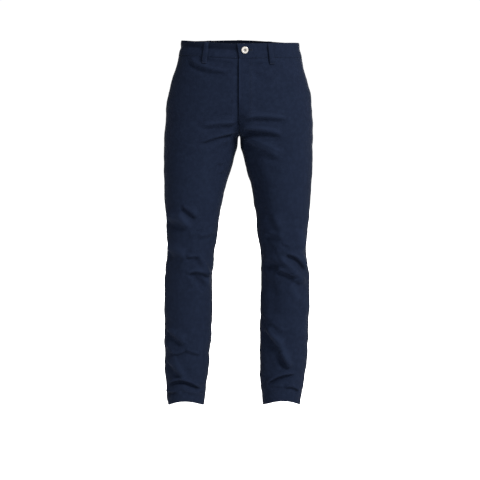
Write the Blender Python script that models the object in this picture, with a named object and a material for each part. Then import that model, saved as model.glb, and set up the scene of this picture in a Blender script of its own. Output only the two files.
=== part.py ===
"""Chino trousers in the shape they have when worn: hollow cloth panels sewn to a waistband.

Frame: metres, +Z up, the front faces -Y, the wearer's left leg is on +X. The origin is the centre of
the waist opening at the height of the button, where the wearer holds the garment up.
"""
import bpy
import math
import numpy as np
from mathutils import Matrix, Vector

# ---------------------------------------------------------------- driving sizes
WALL = 0.0016              # cloth of the panels, turned edges and seam allowances taken together
SEAM_GAP = 0.0003          # parting between two pieces
HEM_WALL = 0.0026
HEM_DEPTH = 0.034          # height of the turned-up hem
HEM_BLEND = 0.012          # height over which its wall thins into the leg's
HEM_CURVE_FROM = 0.86      # share of the leg's length below which its rows bend to the hem's curve
BAND_HEIGHT = 0.041
BAND_WALL = 0.0024
BAND_PROUD = 0.0006        # how far the waistband stands out from the panels
BAND_LAP = 0.0065          # how far the band's upper corner laps past the centre front
BAND_UNDERLAP = 0.040      # how far the other end runs on underneath
BAND_STEP = BAND_WALL / 2.0 + SEAM_GAP   # raise of the lapped end, and sink of the one beneath
BAND_BLEND = (0.006, 0.038)              # past the lap, where that step begins and ends to level out
FLY_BOTTOM = -0.190
FLY_WIDTH = 0.036
FLY_EDGE = 0.001           # how far the fly's turned edge passes the centre front
FLY_UNDERLAP = 0.006
FLY_LAP_ENDS = (-0.165, -0.120)   # heights between which the lap of the two fronts begins
FLY_RAISE = 0.0010         # the upper edge of the lap stands out, the lower one lies back
FLY_SINK = 0.0013
FLY_FADE = (0.030, 0.008)  # below the fly's foot, where both begin and end to level out
FLY_SHOULDERS = {"raised": (-0.006, 0.010), "sunk": (0.0, 0.024)}   # the same, across the front
FLY_LINING = FLY_SINK + WALL + 2.0 * SEAM_GAP   # depth of the zip's face behind the form
MOUTH_WIDTH = 0.038        # pocket mouth to side seam, along the waist seam
MOUTH_BOTTOM = -0.165
POCKET_BOTTOM = -0.262
POCKET_COLUMNS = 8         # columns of the front panel that the pocket bag runs behind
POCKET_WALL = 0.0012
MOUTH_CLEAR = 0.0006       # the facing stays level beneath the mouth's edge for this far
MOUTH_LEVEL = (0.0015, 0.009)   # where the mouth is this wide the facing rises to the side seam
FACING_END = 0.0040        # where the mouth is narrower than this the facing stops at its edge
FACING_STEPS = (0.0, 0.5, 1.0)  # columns of the facing, from the mouth's edge to the side seam
LOOP_WIDTH = 0.0135
LOOP_DROP = 0.017          # how far a belt loop runs on below the waistband
LOOP_BULGE = 0.0032
LOOP_WALL = 0.0018
LOOP_OVER = 0.0006         # how far it reaches above the waistband
LOOP_TURNS = {"upper": 0.16, "lower": 0.22}   # shares of its length that lead out to its middle
LOOP_ROWS = 10
LAY_GAP = 0.0006           # under loops and welts, whose ends lie on the curved cloth
ON_BAND = -0.002           # what lies above this height, from the waist seam, lies on the band
BUTTON_RADIUS = 0.0093
BUTTON_X = 0.0153
BUTTON_Z = -0.0035
BUTTON = {"lip": 0.0014, "lip_height": 0.0012, "foot": 0.0012, "shank": 0.0011, "sides": 24}
BUTTON_DISH = ((0.0046, 0.0021), (0.0034, 0.0013), (0.0, 0.0011))   # radius and height, to the middle
HOLE = {"from": 0.0125, "to": 0.0335, "height": 0.0030}   # buttonhole, along the band from the middle
ZIP = {"from": -0.012, "to": 0.022, "wall": 0.0012, "top": -0.001, "foot": -0.130,
       "rows": 11, "columns": 4}
SLIDER = {"middle": 0.0135, "top": -0.010, "wall": 0.0011}
SLIDER_OUTLINE = (          # half width at each height below its top: body, then pull tab
    (0.0040, 0.000), (0.0048, -0.006), (0.0026, -0.012), (0.0022, -0.030))
WELT = {"from": 0.045, "to": 0.175, "drop": 0.078, "height": 0.011, "wall": 0.0012,
        "rows": 2, "columns": 9}
LOOP_COLUMNS = ("name", "leg", "face", "distance")   # distance along the band from its middle
LOOPS = (
    ("loop_front_left", "left", "front", 0.086),
    ("loop_front_right", "right", "front", 0.092),
    ("loop_side_left", "left", "back", 0.190),
    ("loop_side_right", "right", "back", 0.187),
    ("loop_back_left", "left", "back", 0.090),
    ("loop_back_right", "right", "back", 0.090),
    ("loop_centre_back", "left", "back", 0.0),
)
CROTCH_Z = -0.239
HEM_Z = -1.012

# ---------------------------------------------------------------- worn form
# One row per height. front and back are the furthest points forward and back; front_crest and
# back_crest say where those lie across the width, from the inner end (0) to the side seam (1).
FORM_COLUMNS = ("height", "front", "back", "front_crest", "back_crest")
FORM = (
    (0.034, -0.1030, 0.1010, 0.00, 0.00),
    (-0.020, -0.1060, 0.1090, 0.00, 0.00),
    (-0.060, -0.1085, 0.1210, 0.00, 0.00),
    (-0.090, -0.1088, 0.1310, 0.00, 0.00),
    (-0.115, -0.1085, 0.1365, 0.00, 0.06),
    (-0.150, -0.1072, 0.1390, 0.07, 0.22),
    (-0.195, -0.1050, 0.1335, 0.26, 0.38),
    (-0.239, -0.1035, 0.1190, 0.46, 0.46),
    (-0.300, -0.1005, 0.0990, 0.50, 0.48),
    (-0.400, -0.0935, 0.0780, 0.50, 0.48),
    (-0.480, -0.0865, 0.0640, 0.50, 0.48),
    (-0.555, -0.0800, 0.0570, 0.50, 0.48),
    (-0.640, -0.0690, 0.0640, 0.50, 0.50),
    (-0.720, -0.0610, 0.0720, 0.50, 0.50),
    (-0.820, -0.0550, 0.0740, 0.50, 0.50),
    (-0.920, -0.0525, 0.0700, 0.50, 0.50),
    (-1.020, -0.0550, 0.0655, 0.50, 0.50),
)
# One row per height: how far the cloth reaches from the middle on its outer and inner side.
WIDTH_COLUMNS = ("height", "outer_left", "inner_left", "outer_right", "inner_right")
WIDTHS = (
    (0.034, 0.1660, 0.0000, 0.1620, 0.0000),
    (0.008, 0.1690, 0.0000, 0.1655, 0.0000),
    (-0.020, 0.1755, 0.0000, 0.1710, 0.0000),
    (-0.050, 0.1805, 0.0000, 0.1790, 0.0000),
    (-0.084, 0.1915, 0.0000, 0.1904, 0.0000),
    (-0.118, 0.2000, 0.0000, 0.1990, 0.0000),
    (-0.152, 0.2035, 0.0000, 0.2046, 0.0000),
    (-0.190, 0.2060, 0.0000, 0.2070, 0.0000),
    (-0.239, 0.2068, 0.0000, 0.2100, 0.0000),
    (-0.2425, 0.2068, 0.0026, 0.2102, 0.0034),
    (-0.252, 0.2065, 0.0042, 0.2110, 0.0056),
    (-0.272, 0.2060, 0.0063, 0.2120, 0.0080),
    (-0.300, 0.2060, 0.0125, 0.2120, 0.0145),
    (-0.341, 0.2050, 0.0240, 0.2115, 0.0270),
    (-0.400, 0.2012, 0.0385, 0.2110, 0.0440),
    (-0.460, 0.1975, 0.0475, 0.2070, 0.0560),
    (-0.520, 0.1920, 0.0530, 0.2045, 0.0635),
    (-0.563, 0.1885, 0.0600, 0.2030, 0.0705),
    (-0.600, 0.1930, 0.0630, 0.2070, 0.0740),
    (-0.650, 0.1990, 0.0628, 0.2115, 0.0785),
    (-0.720, 0.2000, 0.0615, 0.2130, 0.0780),
    (-0.800, 0.1965, 0.0605, 0.2130, 0.0805),
    (-0.860, 0.1955, 0.0604, 0.2132, 0.0860),
    (-0.920, 0.1888, 0.0606, 0.2118, 0.0905),
    (-0.960, 0.1825, 0.0630, 0.2090, 0.0970),
    (-1.020, 0.1720, 0.0715, 0.2025, 0.1030),
)
# One row per height: how far each leg stands forward (-) or back (+) of the shared form.
STANCE_COLUMNS = ("height", "left", "right")
STANCE = (
    (-0.239, 0.000, 0.000),
    (-0.400, 0.000, -0.002),
    (-0.560, 0.003, -0.006),
    (-0.760, 0.006, -0.004),
    (-1.020, 0.006, 0.000),
)
RISES = {  # centre seams: where each starts to curve under, and how square the curve is
    "front": {"start": -0.115, "power": 2.6},
    "back": {"start": -0.090, "power": 2.8},
}
SQUARENESS_HIP = 2.45      # superellipse power of a horizontal section at the hips
SQUARENESS_LEG = 2.15
SQUARENESS_TURN = (-0.12, -0.34)
SEAM_FORWARD = 0.005       # side seam and inseam lie this far in front of the middle of the depth
WAIST_SEAM = {             # height of the waistband's lower edge
    "front": -0.0265, "side": -0.0180, "back": -0.0090, "roll": 0.0035}
SIDE_CROTCH_Z = -0.285     # height on the side seam of the row that starts at the crotch point
HEM_RISE = {"front": 0.018, "back": -0.006}

# ---------------------------------------------------------------- folds
# Each row is one fold, on the surface above the points (x, z) of its start, middle and end as seen
# from the front. lift raises a rounded ridge; tuck raises the upper side and sinks the lower one.
FOLD_COLUMNS = ("leg", "face", "x0", "z0", "x1", "z1", "x2", "z2", "width", "lift", "tuck")
FOLDS = (
    # from the crotch and the fly's foot across the thighs
    ("left", "front", 0.010, -0.192, 0.065, -0.190, 0.134, -0.195, 0.010, 0.0, 0.0035),
    ("left", "front", 0.008, -0.222, 0.065, -0.228, 0.122, -0.240, 0.011, 0.0, 0.0042),
    ("left", "front", 0.026, -0.250, 0.075, -0.268, 0.124, -0.293, 0.012, 0.0, 0.0042),
    ("right", "front", 0.008, -0.206, 0.057, -0.210, 0.106, -0.212, 0.010, 0.0, 0.0026),
    ("right", "front", 0.012, -0.228, 0.057, -0.240, 0.108, -0.257, 0.010, 0.0, 0.0032),
    ("right", "front", 0.128, -0.030, 0.096, -0.058, 0.036, -0.084, 0.016, 0.0, 0.0022),
    # knee, wearer's right
    ("right", "front", 0.163, -0.430, 0.138, -0.444, 0.110, -0.468, 0.010, 0.0, 0.0030),
    ("right", "front", 0.188, -0.456, 0.163, -0.470, 0.136, -0.493, 0.012, 0.0, 0.0038),
    ("right", "front", 0.120, -0.522, 0.092, -0.520, 0.066, -0.513, 0.012, 0.0, 0.0022),
    ("right", "front", 0.152, -0.571, 0.132, -0.568, 0.110, -0.568, 0.011, 0.0, 0.0028),
    ("right", "front", 0.114, -0.580, 0.098, -0.600, 0.080, -0.640, 0.010, 0.0032, 0.0),
    ("right", "front", 0.144, -0.622, 0.119, -0.616, 0.088, -0.627, 0.011, 0.0, 0.0034),
    # knee, wearer's left
    ("left", "front", 0.074, -0.514, 0.096, -0.510, 0.122, -0.513, 0.011, 0.0, 0.0026),
    ("left", "front", 0.184, -0.498, 0.174, -0.516, 0.180, -0.540, 0.011, 0.0028, 0.0),
    ("left", "front", 0.134, -0.570, 0.160, -0.577, 0.190, -0.612, 0.010, 0.0, 0.0040),
    ("left", "front", 0.106, -0.610, 0.137, -0.617, 0.173, -0.648, 0.011, 0.0, 0.0046),
    ("left", "front", 0.124, -0.646, 0.150, -0.660, 0.170, -0.678, 0.012, 0.0, 0.0024),
    ("left", "front", 0.068, -0.587, 0.088, -0.584, 0.112, -0.586, 0.011, 0.0, 0.0026),
    # shins
    ("right", "front", 0.196, -0.796, 0.174, -0.803, 0.150, -0.822, 0.013, 0.0, 0.0030),
    ("right", "front", 0.190, -0.838, 0.152, -0.835, 0.112, -0.845, 0.011, 0.0, 0.0026),
    ("right", "front", 0.200, -0.812, 0.172, -0.872, 0.143, -0.922, 0.011, 0.0030, 0.0),
    ("left", "front", 0.066, -0.746, 0.086, -0.785, 0.128, -0.818, 0.012, 0.0030, 0.0),
    ("left", "front", 0.104, -0.836, 0.126, -0.858, 0.143, -0.890, 0.010, 0.0022, 0.0034),
    # breaks above the hems
    ("right", "front", 0.204, -0.936, 0.154, -0.928, 0.100, -0.948, 0.011, 0.0, 0.0044),
    ("left", "front", 0.074, -0.938, 0.118, -0.914, 0.176, -0.906, 0.011, 0.0, 0.0044),
    # behind: under the seat, behind the knees, over the calves and at the hems
    ("left", "back", 0.020, -0.276, 0.080, -0.292, 0.150, -0.284, 0.014, 0.0, 0.0036),
    ("right", "back", 0.022, -0.282, 0.085, -0.300, 0.155, -0.296, 0.014, 0.0, 0.0034),
    ("left", "back", 0.040, -0.318, 0.090, -0.330, 0.140, -0.356, 0.012, 0.0, 0.0026),
    ("left", "back", 0.066, -0.520, 0.120, -0.534, 0.176, -0.526, 0.011, 0.0, 0.0036),
    ("left", "back", 0.072, -0.566, 0.126, -0.574, 0.172, -0.592, 0.011, 0.0, 0.0040),
    ("right", "back", 0.078, -0.512, 0.130, -0.520, 0.188, -0.540, 0.011, 0.0, 0.0036),
    ("right", "back", 0.086, -0.574, 0.136, -0.566, 0.186, -0.578, 0.011, 0.0, 0.0040),
    ("right", "back", 0.094, -0.618, 0.138, -0.612, 0.170, -0.628, 0.011, 0.0, 0.0028),
    ("left", "back", 0.084, -0.760, 0.120, -0.790, 0.166, -0.806, 0.013, 0.0, 0.0028),
    ("right", "back", 0.188, -0.770, 0.150, -0.800, 0.108, -0.812, 0.013, 0.0, 0.0028),
    ("left", "back", 0.080, -0.926, 0.120, -0.916, 0.166, -0.930, 0.010, 0.0, 0.0044),
    ("right", "back", 0.108, -0.930, 0.150, -0.922, 0.194, -0.936, 0.010, 0.0, 0.0044),
)
FOLD_STEPS = 12            # straight runs that a fold's line is measured along
FOLD_REACH = 4.0           # widths away from its line at which a fold has died out
FOLD_FADE = (0.22, 0.30)   # share of a fold's length over which it dies away, at its start and end
DART = {"from_middle": 0.078, "foot": -0.098, "fade": 0.030, "width": 0.006, "depth": 0.0012}

# ---------------------------------------------------------------- mesh density
HIP_ROWS = 13
LEG_COLUMNS = 15
# Spacing of the rows down a leg: height and distance to the next row.
ROW_SPACING_COLUMNS = ("height", "spacing")
ROW_SPACING = (
    (-0.24, 0.026), (-0.38, 0.027), (-0.46, 0.018), (-0.64, 0.018), (-0.70, 0.030),
    (-0.78, 0.026), (-0.83, 0.019), (-0.90, 0.014), (-0.95, 0.014), (-1.01, 0.018))
# Columns of the waistband near its end, as distances from the centre front.
BAND_COLUMNS = {
    "left": (0.004, HOLE["from"], HOLE["to"], 0.046),
    "right": (-0.022, -0.004, 0.008, 0.022, 0.034, 0.046)}
BAND_REST = {"front": 11, "back": 12}   # cells of the rest of each half, before and behind the side
ARC_SAMPLES = 120          # points that each half of a section is measured along
RISE_SAMPLES = 240
ROW_SAMPLES = 401
NORMAL_STEP = 0.004        # share of a row over which its slope is taken
SHARP_ANGLE = math.radians(40.0)
SIDES = {"left": 1, "right": -1}

COLOURS = {
    "cloth": (0.0125, 0.0200, 0.0450),
    "pocketing": (0.020, 0.028, 0.055),
    "tape": (0.012, 0.016, 0.030),
    "brass": (0.42, 0.36, 0.26),
    "button": (0.72, 0.70, 0.66),
}


# ---------------------------------------------------------------- curves through the tables
def smooth(edge0, edge1, x):
    t = np.clip((np.asarray(x, float) - edge0) / (edge1 - edge0), 0.0, 1.0)
    return t * t * (3.0 - 2.0 * t)


def curve(xs, ys, x):
    """Monotone cubic curve through the points (xs, ys), xs ascending."""
    h = np.diff(xs)
    slope = np.diff(ys) / h
    tangent = np.zeros(len(xs))
    same = slope[:-1] * slope[1:] > 0.0
    w1 = 2.0 * h[1:] + h[:-1]
    w2 = h[1:] + 2.0 * h[:-1]
    safe = np.where(same, slope[:-1], 1.0), np.where(same, slope[1:], 1.0)
    tangent[1:-1] = np.where(same, (w1 + w2) / (w1 / safe[0] + w2 / safe[1]), 0.0)
    tangent[0], tangent[-1] = slope[0], slope[-1]
    x = np.clip(x, xs[0], xs[-1])
    i = np.clip(np.searchsorted(xs, x) - 1, 0, len(h) - 1)
    t = (x - xs[i]) / h[i]
    a = ys[i] * (1 + 2 * t) * (1 - t) ** 2 + h[i] * tangent[i] * t * (1 - t) ** 2
    b = ys[i + 1] * t * t * (3 - 2 * t) + h[i] * tangent[i + 1] * t * t * (t - 1)
    return a + b


def read_table(rows, columns, name, z):
    data = np.array(rows[::-1])
    return curve(data[:, 0], data[:, columns.index(name)], z)


def depth_at(face, z):
    return read_table(FORM, FORM_COLUMNS, face, z)


def rise_fraction(face, z):
    """How far out of the inseam (0) towards the front or back (1) the centre seam lies at z."""
    rise = RISES[face]
    drop = np.clip((rise["start"] - z) / (rise["start"] - CROTCH_Z), 0.0, 1.0)
    return (1.0 - drop ** rise["power"]) ** (1.0 / rise["power"])


# ---------------------------------------------------------------- the worn surface
def section_point(leg, face, z, s=None, away=None):
    """Point on one face of a leg (or of half the hips) at height z: a fraction s of the way along
    the cloth from the inner end to the side seam, or the length away from the side seam.
    Returns the points and the lengths of their sections."""
    z = np.asarray(z, float)
    outer = read_table(WIDTHS, WIDTH_COLUMNS, "outer_" + leg, z)
    inner = read_table(WIDTHS, WIDTH_COLUMNS, "inner_" + leg, z)
    stance = read_table(STANCE, STANCE_COLUMNS, leg, z)
    middle = (depth_at("front", z) + depth_at("back", z)) / 2.0 + stance - SEAM_FORWARD
    extreme = depth_at(face, z) + stance
    crest = inner + (outer - inner) * read_table(FORM, FORM_COLUMNS, face + "_crest", z)
    power = SQUARENESS_HIP + (SQUARENESS_LEG - SQUARENESS_HIP) * smooth(
        *[-h for h in SQUARENESS_TURN], -z)
    exponent = (2.0 / power)[..., None]
    start = np.arcsin(rise_fraction(face, z) ** (power / 2.0))[..., None]
    reach = (crest - inner)[..., None] / np.maximum(np.cos(start) ** exponent, 1e-5)
    run = np.linspace(0.0, 1.0, ARC_SAMPLES)
    turn_in = start + (math.pi / 2.0 - start) * run
    x_in = crest[..., None] - reach * np.cos(turn_in).clip(0.0) ** exponent
    turn_out = math.pi / 2.0 * run[1:] + math.pi / 2.0
    x_out = crest[..., None] + (outer - crest)[..., None] * np.abs(np.cos(turn_out)) ** exponent
    turn = np.concatenate([turn_in, np.broadcast_to(turn_out, x_out.shape)], axis=-1)
    x = np.concatenate([x_in, x_out], axis=-1)
    rise = np.sin(turn).clip(0.0) ** exponent
    y = middle[..., None] + (extreme - middle)[..., None] * rise
    step = np.hypot(np.diff(x), np.diff(y))
    length = np.concatenate([np.zeros(x.shape[:-1] + (1,)), np.cumsum(step, axis=-1)], axis=-1)
    total = length[..., -1:]
    want = np.asarray(s)[..., None] * total if away is None else total - away[..., None]
    want = np.clip(want, 0.0, total)
    i = np.clip((length < want).sum(axis=-1, keepdims=True) - 1, 0, length.shape[-1] - 2)
    l0 = np.take_along_axis(length, i, -1)
    l1 = np.take_along_axis(length, i + 1, -1)
    t = (want - l0) / np.maximum(l1 - l0, 1e-12)
    px = (np.take_along_axis(x, i, -1) * (1 - t) + np.take_along_axis(x, i + 1, -1) * t)[..., 0]
    py = (np.take_along_axis(y, i, -1) * (1 - t) + np.take_along_axis(y, i + 1, -1) * t)[..., 0]
    return np.stack([SIDES[leg] * px, py, z], axis=-1), length[..., -1]


def waist_seam(leg, face, s):
    side = WAIST_SEAM["side"] - SIDES[leg] * WAIST_SEAM["roll"]
    middle = WAIST_SEAM[face]
    return middle + (side - middle) * smooth(0.0, 1.0, s)


def rise_heights(face, v):
    """Height on the centre seam a fraction v of the way along it, from waist to crotch point."""
    rise = RISES[face]
    straight = np.linspace(WAIST_SEAM[face], rise["start"], RISE_SAMPLES)
    turn = np.linspace(0.0, math.pi / 2.0, RISE_SAMPLES)[1:]
    drop = np.sin(turn) ** (2.0 / rise["power"])
    z = np.concatenate([straight, rise["start"] + (CROTCH_Z - rise["start"]) * drop])
    middle = (depth_at("front", z) + depth_at("back", z)) / 2.0 - SEAM_FORWARD
    y = middle + (depth_at(face, z) - middle) * rise_fraction(face, z)
    length = np.concatenate([[0.0], np.cumsum(np.hypot(np.diff(y), np.diff(z)))])
    return np.interp(np.asarray(v) * length[-1], length, z)


def row_height(leg, face, s, v):
    """Height of a point: v runs 0 to 1 from waist to crotch and 1 to 2 from crotch to hem."""
    s, v = np.broadcast_arrays(np.asarray(s, float), np.asarray(v, float))
    across = smooth(0.0, 1.0, s)
    hip = np.clip(v, 0.0, 1.0)
    down = np.clip(v - 1.0, 0.0, 1.0)
    inner = np.where(v < 1.0, rise_heights(face, hip), CROTCH_Z + (HEM_Z - CROTCH_Z) * down)
    top = waist_seam(leg, face, np.ones_like(s))
    outer = np.where(v < 1.0, top + (SIDE_CROTCH_Z - top) * hip,
                     SIDE_CROTCH_Z + (HEM_Z - SIDE_CROTCH_Z) * down)
    hem = np.sin(math.pi * np.clip(s, 0.0, 1.0)) ** 2 * smooth(HEM_CURVE_FROM, 1.0, down)
    hem = HEM_RISE[face] * hem
    return inner + (outer - inner) * across + hem


def row_lengths():
    """Length of cloth along each row of each panel, taken at the height of the row's inner end."""
    v = np.linspace(0.0, 2.0, ROW_SAMPLES)
    nought = np.zeros_like(v)
    return v, {(leg, face): section_point(leg, face, row_height(leg, face, nought, v), nought)[1]
               for leg in SIDES for face in RISES}


ROW_V, ROW_LENGTHS = row_lengths()


def row_length(leg, face, v):
    return np.interp(v, ROW_V, ROW_LENGTHS[leg, face])


def panel_point(leg, face, s, v):
    away = (1.0 - s) * row_length(leg, face, v)
    return section_point(leg, face, row_height(leg, face, s, v), away=away)[0]


def base_point(leg, face, s, v):
    """The form before any fold. s may run past a seam, on to the next panel."""
    s, v = np.broadcast_arrays(np.asarray(s, float), np.asarray(v, float))
    other = {"front": "back", "back": "front"}[face]
    point = panel_point(leg, face, np.clip(s, 0.0, 1.0), v)
    past_side = s > 1.0
    if past_side.any():
        point[past_side] = panel_point(leg, other, 2.0 - s[past_side], v[past_side])
    past_middle = s < 0.0
    if past_middle.any():
        over, vm = -s[past_middle], v[past_middle]
        mirror = panel_point(leg, face, over, vm)
        mirror[:, 0] *= -1.0
        wrap = panel_point(leg, other, over, vm)
        point[past_middle] = np.where((vm < 1.0)[:, None], mirror, wrap)
    return point


def base_frame(leg, face, s, v, step=NORMAL_STEP):
    """Points of the form with their outward normals."""
    s, v = np.broadcast_arrays(np.asarray(s, float), np.asarray(v, float))
    point = base_point(leg, face, s, v)
    along = base_point(leg, face, s + step, v) - base_point(leg, face, s - step, v)
    down = base_point(leg, face, s, np.minimum(v + step, 2.0)) - base_point(
        leg, face, s, np.maximum(v - step, 0.0))
    normal = np.cross(down, along) * SIDES[leg] * (1.0 if face == "front" else -1.0)
    normal /= np.maximum(np.linalg.norm(normal, axis=-1, keepdims=True), 1e-12)
    return point, normal


def surface_spot(leg, face, x, z):
    """Point of the form that lies above (x, z) as seen from the front or the back."""
    s = np.linspace(0.0, 1.0, ARC_SAMPLES)
    line = section_point(leg, face, np.full(s.shape, z), s)[0]
    return np.array([SIDES[leg] * x, np.interp(x, np.abs(line[:, 0]), line[:, 1]), z])


def fold_line(row):
    """The fold's line on the surface, bent smoothly through its start, middle and end."""
    t = np.linspace(0.0, 1.0, FOLD_STEPS + 1)
    ends = [np.array([row["x%d" % k], row["z%d" % k]]) for k in range(3)]
    bend = 2.0 * ends[1] - (ends[0] + ends[2]) / 2.0
    flat = [(1 - u) ** 2 * ends[0] + 2 * u * (1 - u) * bend + u * u * ends[2] for u in t]
    return np.array([surface_spot(row["leg"], row["face"], x, z) for x, z in flat])


def fold_rows():
    rows = [dict(zip(FOLD_COLUMNS, row)) for row in FOLDS]
    return [dict(row, line=fold_line(row)) for row in rows]


FOLD_ROWS = fold_rows()

def line_distance(point, line):
    """Distance of each point to a line, + above it and - below, and how far along it that is."""
    run = np.linalg.norm(np.diff(line, axis=0), axis=1)
    start = np.concatenate([[0.0], np.cumsum(run)])
    best = np.full(len(point), np.inf)
    offset = np.zeros(len(point))
    along = np.zeros(len(point))
    for k, corner in enumerate(line[:-1]):
        direction = (line[k + 1] - corner) / run[k]
        t = np.clip((point - corner) @ direction, 0.0, run[k])
        away = point - (corner + t[:, None] * direction)
        distance = np.linalg.norm(away, axis=1)
        closer = distance < best
        best = np.where(closer, distance, best)
        offset = np.where(closer, np.sign(away[:, 2]) * distance, offset)
        along = np.where(closer, (start[k] + t) / start[-1], along)
    return offset, along


def fold_height(leg, point):
    """How far the folds move each point out (+) or in (-): a bell across each ridge, and the slope
    of a bell, with its peak scaled to 1, across each tuck."""
    height = np.zeros(point.shape[:-1])
    for row in FOLD_ROWS:
        reach = FOLD_REACH * row["width"]
        low, high = row["line"].min(axis=0) - reach, row["line"].max(axis=0) + reach
        near = ((point > low) & (point < high)).all(axis=-1)
        if row["leg"] != leg or not near.any():
            continue
        offset, along = line_distance(point[near], row["line"])
        u = offset / row["width"]
        fade = smooth(0.0, FOLD_FADE[0], along) * smooth(0.0, FOLD_FADE[1], 1.0 - along)
        height[near] += fade * np.exp(-0.5 * u * u) * (row["lift"] + row["tuck"] * u * math.exp(0.5))
    return height


def dart_height(leg, point):
    """Shallow groove of the dart that shapes each back panel under the waistband."""
    across = (np.abs(point[..., 0]) - DART["from_middle"]) / DART["width"]
    fade = smooth(DART["foot"], DART["foot"] + DART["fade"], point[..., 2])
    return -DART["depth"] * np.exp(-0.5 * across ** 2) * fade * (point[..., 1] > 0.0)


def fly_level(z):
    return smooth(FLY_BOTTOM - FLY_FADE[0], FLY_BOTTOM - FLY_FADE[1], z)


def fly_height(leg, face, point):
    """The left front is raised over the fly, and the right front's edge is sunk beneath it."""
    if face == "back":
        return np.zeros(point.shape[:-1])
    x = np.abs(point[..., 0])
    if leg == "left":
        near, far = FLY_SHOULDERS["raised"]
        raised = 1.0 - smooth(FLY_WIDTH + near, FLY_WIDTH + far, x)
        return FLY_RAISE * raised * fly_level(point[..., 2])
    near, far = FLY_SHOULDERS["sunk"]
    sunk = 1.0 - smooth(FLY_UNDERLAP + near, FLY_UNDERLAP + far, x)
    return -FLY_SINK * sunk * fly_level(point[..., 2])


def cloth_frame(leg, face, s, v):
    """Points of the finished outer surface, with the normals along which walls are built."""
    point, normal = base_frame(leg, face, s, v)
    height = fold_height(leg, point) + fly_height(leg, face, point)
    if face == "back":
        height += dart_height(leg, point)
    return point + normal * height[..., None], normal


# ---------------------------------------------------------------- meshes
def material(name, colour, roughness, metallic=0.0):
    made = bpy.data.materials.new(name)
    made.use_nodes = True
    shader = made.node_tree.nodes["Principled BSDF"]
    shader.inputs["Base Color"].default_value = (*colour, 1.0)
    shader.inputs["Roughness"].default_value = roughness
    shader.inputs["Metallic"].default_value = metallic
    return made


def add_object(name, vertices, faces, finish):
    mesh = bpy.data.meshes.new(name)
    mesh.from_pydata([tuple(p) for p in vertices], [], faces)
    mesh.update()
    mesh.shade_smooth()
    mesh.set_sharp_from_angle(angle=SHARP_ANGLE)
    made = bpy.data.objects.new(name, mesh)
    made.data.materials.append(finish)
    bpy.context.collection.objects.link(made)
    return made


def volume(vertices, faces):
    total = 0.0
    for face in faces:
        a = vertices[face[0]]
        for k in range(1, len(face) - 1):
            total += np.dot(a, np.cross(vertices[face[k]], vertices[face[k + 1]]))
    return total / 6.0


def add_shell(name, outer, inner, finish, keep=None):
    """Closed wall between two grids of points; keep marks the cells that are cloth."""
    rows, columns = outer.shape[:2]
    if keep is None:
        keep = np.ones((rows - 1, columns - 1), bool)
    grid = np.arange(rows * columns).reshape(rows, columns)
    count = rows * columns
    faces = []
    edges = {}
    for i, j in zip(*np.nonzero(keep)):
        ring = [grid[i, j], grid[i + 1, j], grid[i + 1, j + 1], grid[i, j + 1]]
        for corners in (ring[:3], [ring[0], ring[2], ring[3]]):
            faces.append(corners)
            faces.append([count + k for k in corners[::-1]])
        for a, b in zip(ring, ring[1:] + ring[:1]):
            edges[(a, b)] = edges.get((a, b), 0) + 1
    for a, b in edges:
        if (b, a) not in edges:
            faces.append([b, a, count + a, count + b])
    points = np.concatenate([outer.reshape(-1, 3), inner.reshape(-1, 3)])
    used = sorted({k for face in faces for k in face})
    index = {k: n for n, k in enumerate(used)}
    faces = [[index[k] for k in face] for face in faces]
    points = points[used]
    if volume(points, faces) < 0.0:
        faces = [face[::-1] for face in faces]
    return add_object(name, points, faces, finish)


# ---------------------------------------------------------------- panels
def panel_rows():
    """Row parameters of a panel: evenly down the hips, then by the spacing table."""
    hips = np.linspace(0.0, 1.0, HIP_ROWS + 1)
    z = CROTCH_Z
    heights = [z]
    while z > HEM_Z:
        z -= read_table(ROW_SPACING, ROW_SPACING_COLUMNS, "spacing", np.array(z))
        heights.append(float(z))
    down = (np.array(heights) - CROTCH_Z) / (heights[-1] - CROTCH_Z)
    return np.concatenate([hips[:-1], 1.0 + down])


def mouth_width(z):
    """Distance along the cloth from the side seam to the edge of the slanted pocket mouth."""
    top = WAIST_SEAM["side"]
    return np.clip(MOUTH_WIDTH * (z - MOUTH_BOTTOM) / (top - MOUTH_BOTTOM), SEAM_GAP / 2, None)


def panel_columns(leg, face, v):
    """Column parameters of each row, from the inner edge to the side seam or pocket mouth."""
    length = row_length(leg, face, v)
    margin = SEAM_GAP / 2 / length
    end = 1.0 - margin
    if face == "front":
        end = 1.0 - mouth_width(row_height(leg, face, np.ones_like(v), v)) / length
    j = np.linspace(0.0, 1.0, LEG_COLUMNS + 1)
    return margin[:, None] + (end - margin)[:, None] * j[None, :]


def panel_grid(leg, face):
    v = panel_rows()
    s = panel_columns(leg, face, v)
    v = np.broadcast_to(v[:, None], s.shape).copy()
    point, normal = cloth_frame(leg, face, s, v)
    point[0, :, 2] -= SEAM_GAP / 2
    hem = smooth(HEM_Z + HEM_DEPTH + HEM_BLEND, HEM_Z + HEM_DEPTH, point[..., 2])
    inner = point - normal * (WALL + (HEM_WALL - WALL) * hem)[..., None]
    side = SIDES[leg]
    for grid in (point, inner):
        x = grid[..., 0] * side
        hip = (v <= 1.0)
        grid[..., 0] = np.where(hip, np.maximum(x, SEAM_GAP / 2), x) * side
        if face == "front":
            lap = FLY_EDGE if leg == "left" else FLY_UNDERLAP
            lap = (lap + SEAM_GAP / 2) * smooth(*FLY_LAP_ENDS, grid[:, 0, 2])
            grid[:, 0, 0] = side * (np.abs(grid[:, 0, 0]) - lap)
    return point, inner, s, v


def add_panel(leg, face, finish):
    outer, inner, _, _ = panel_grid(leg, face)
    return add_shell("%s_%s" % (face, leg), outer, inner, finish)


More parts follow.
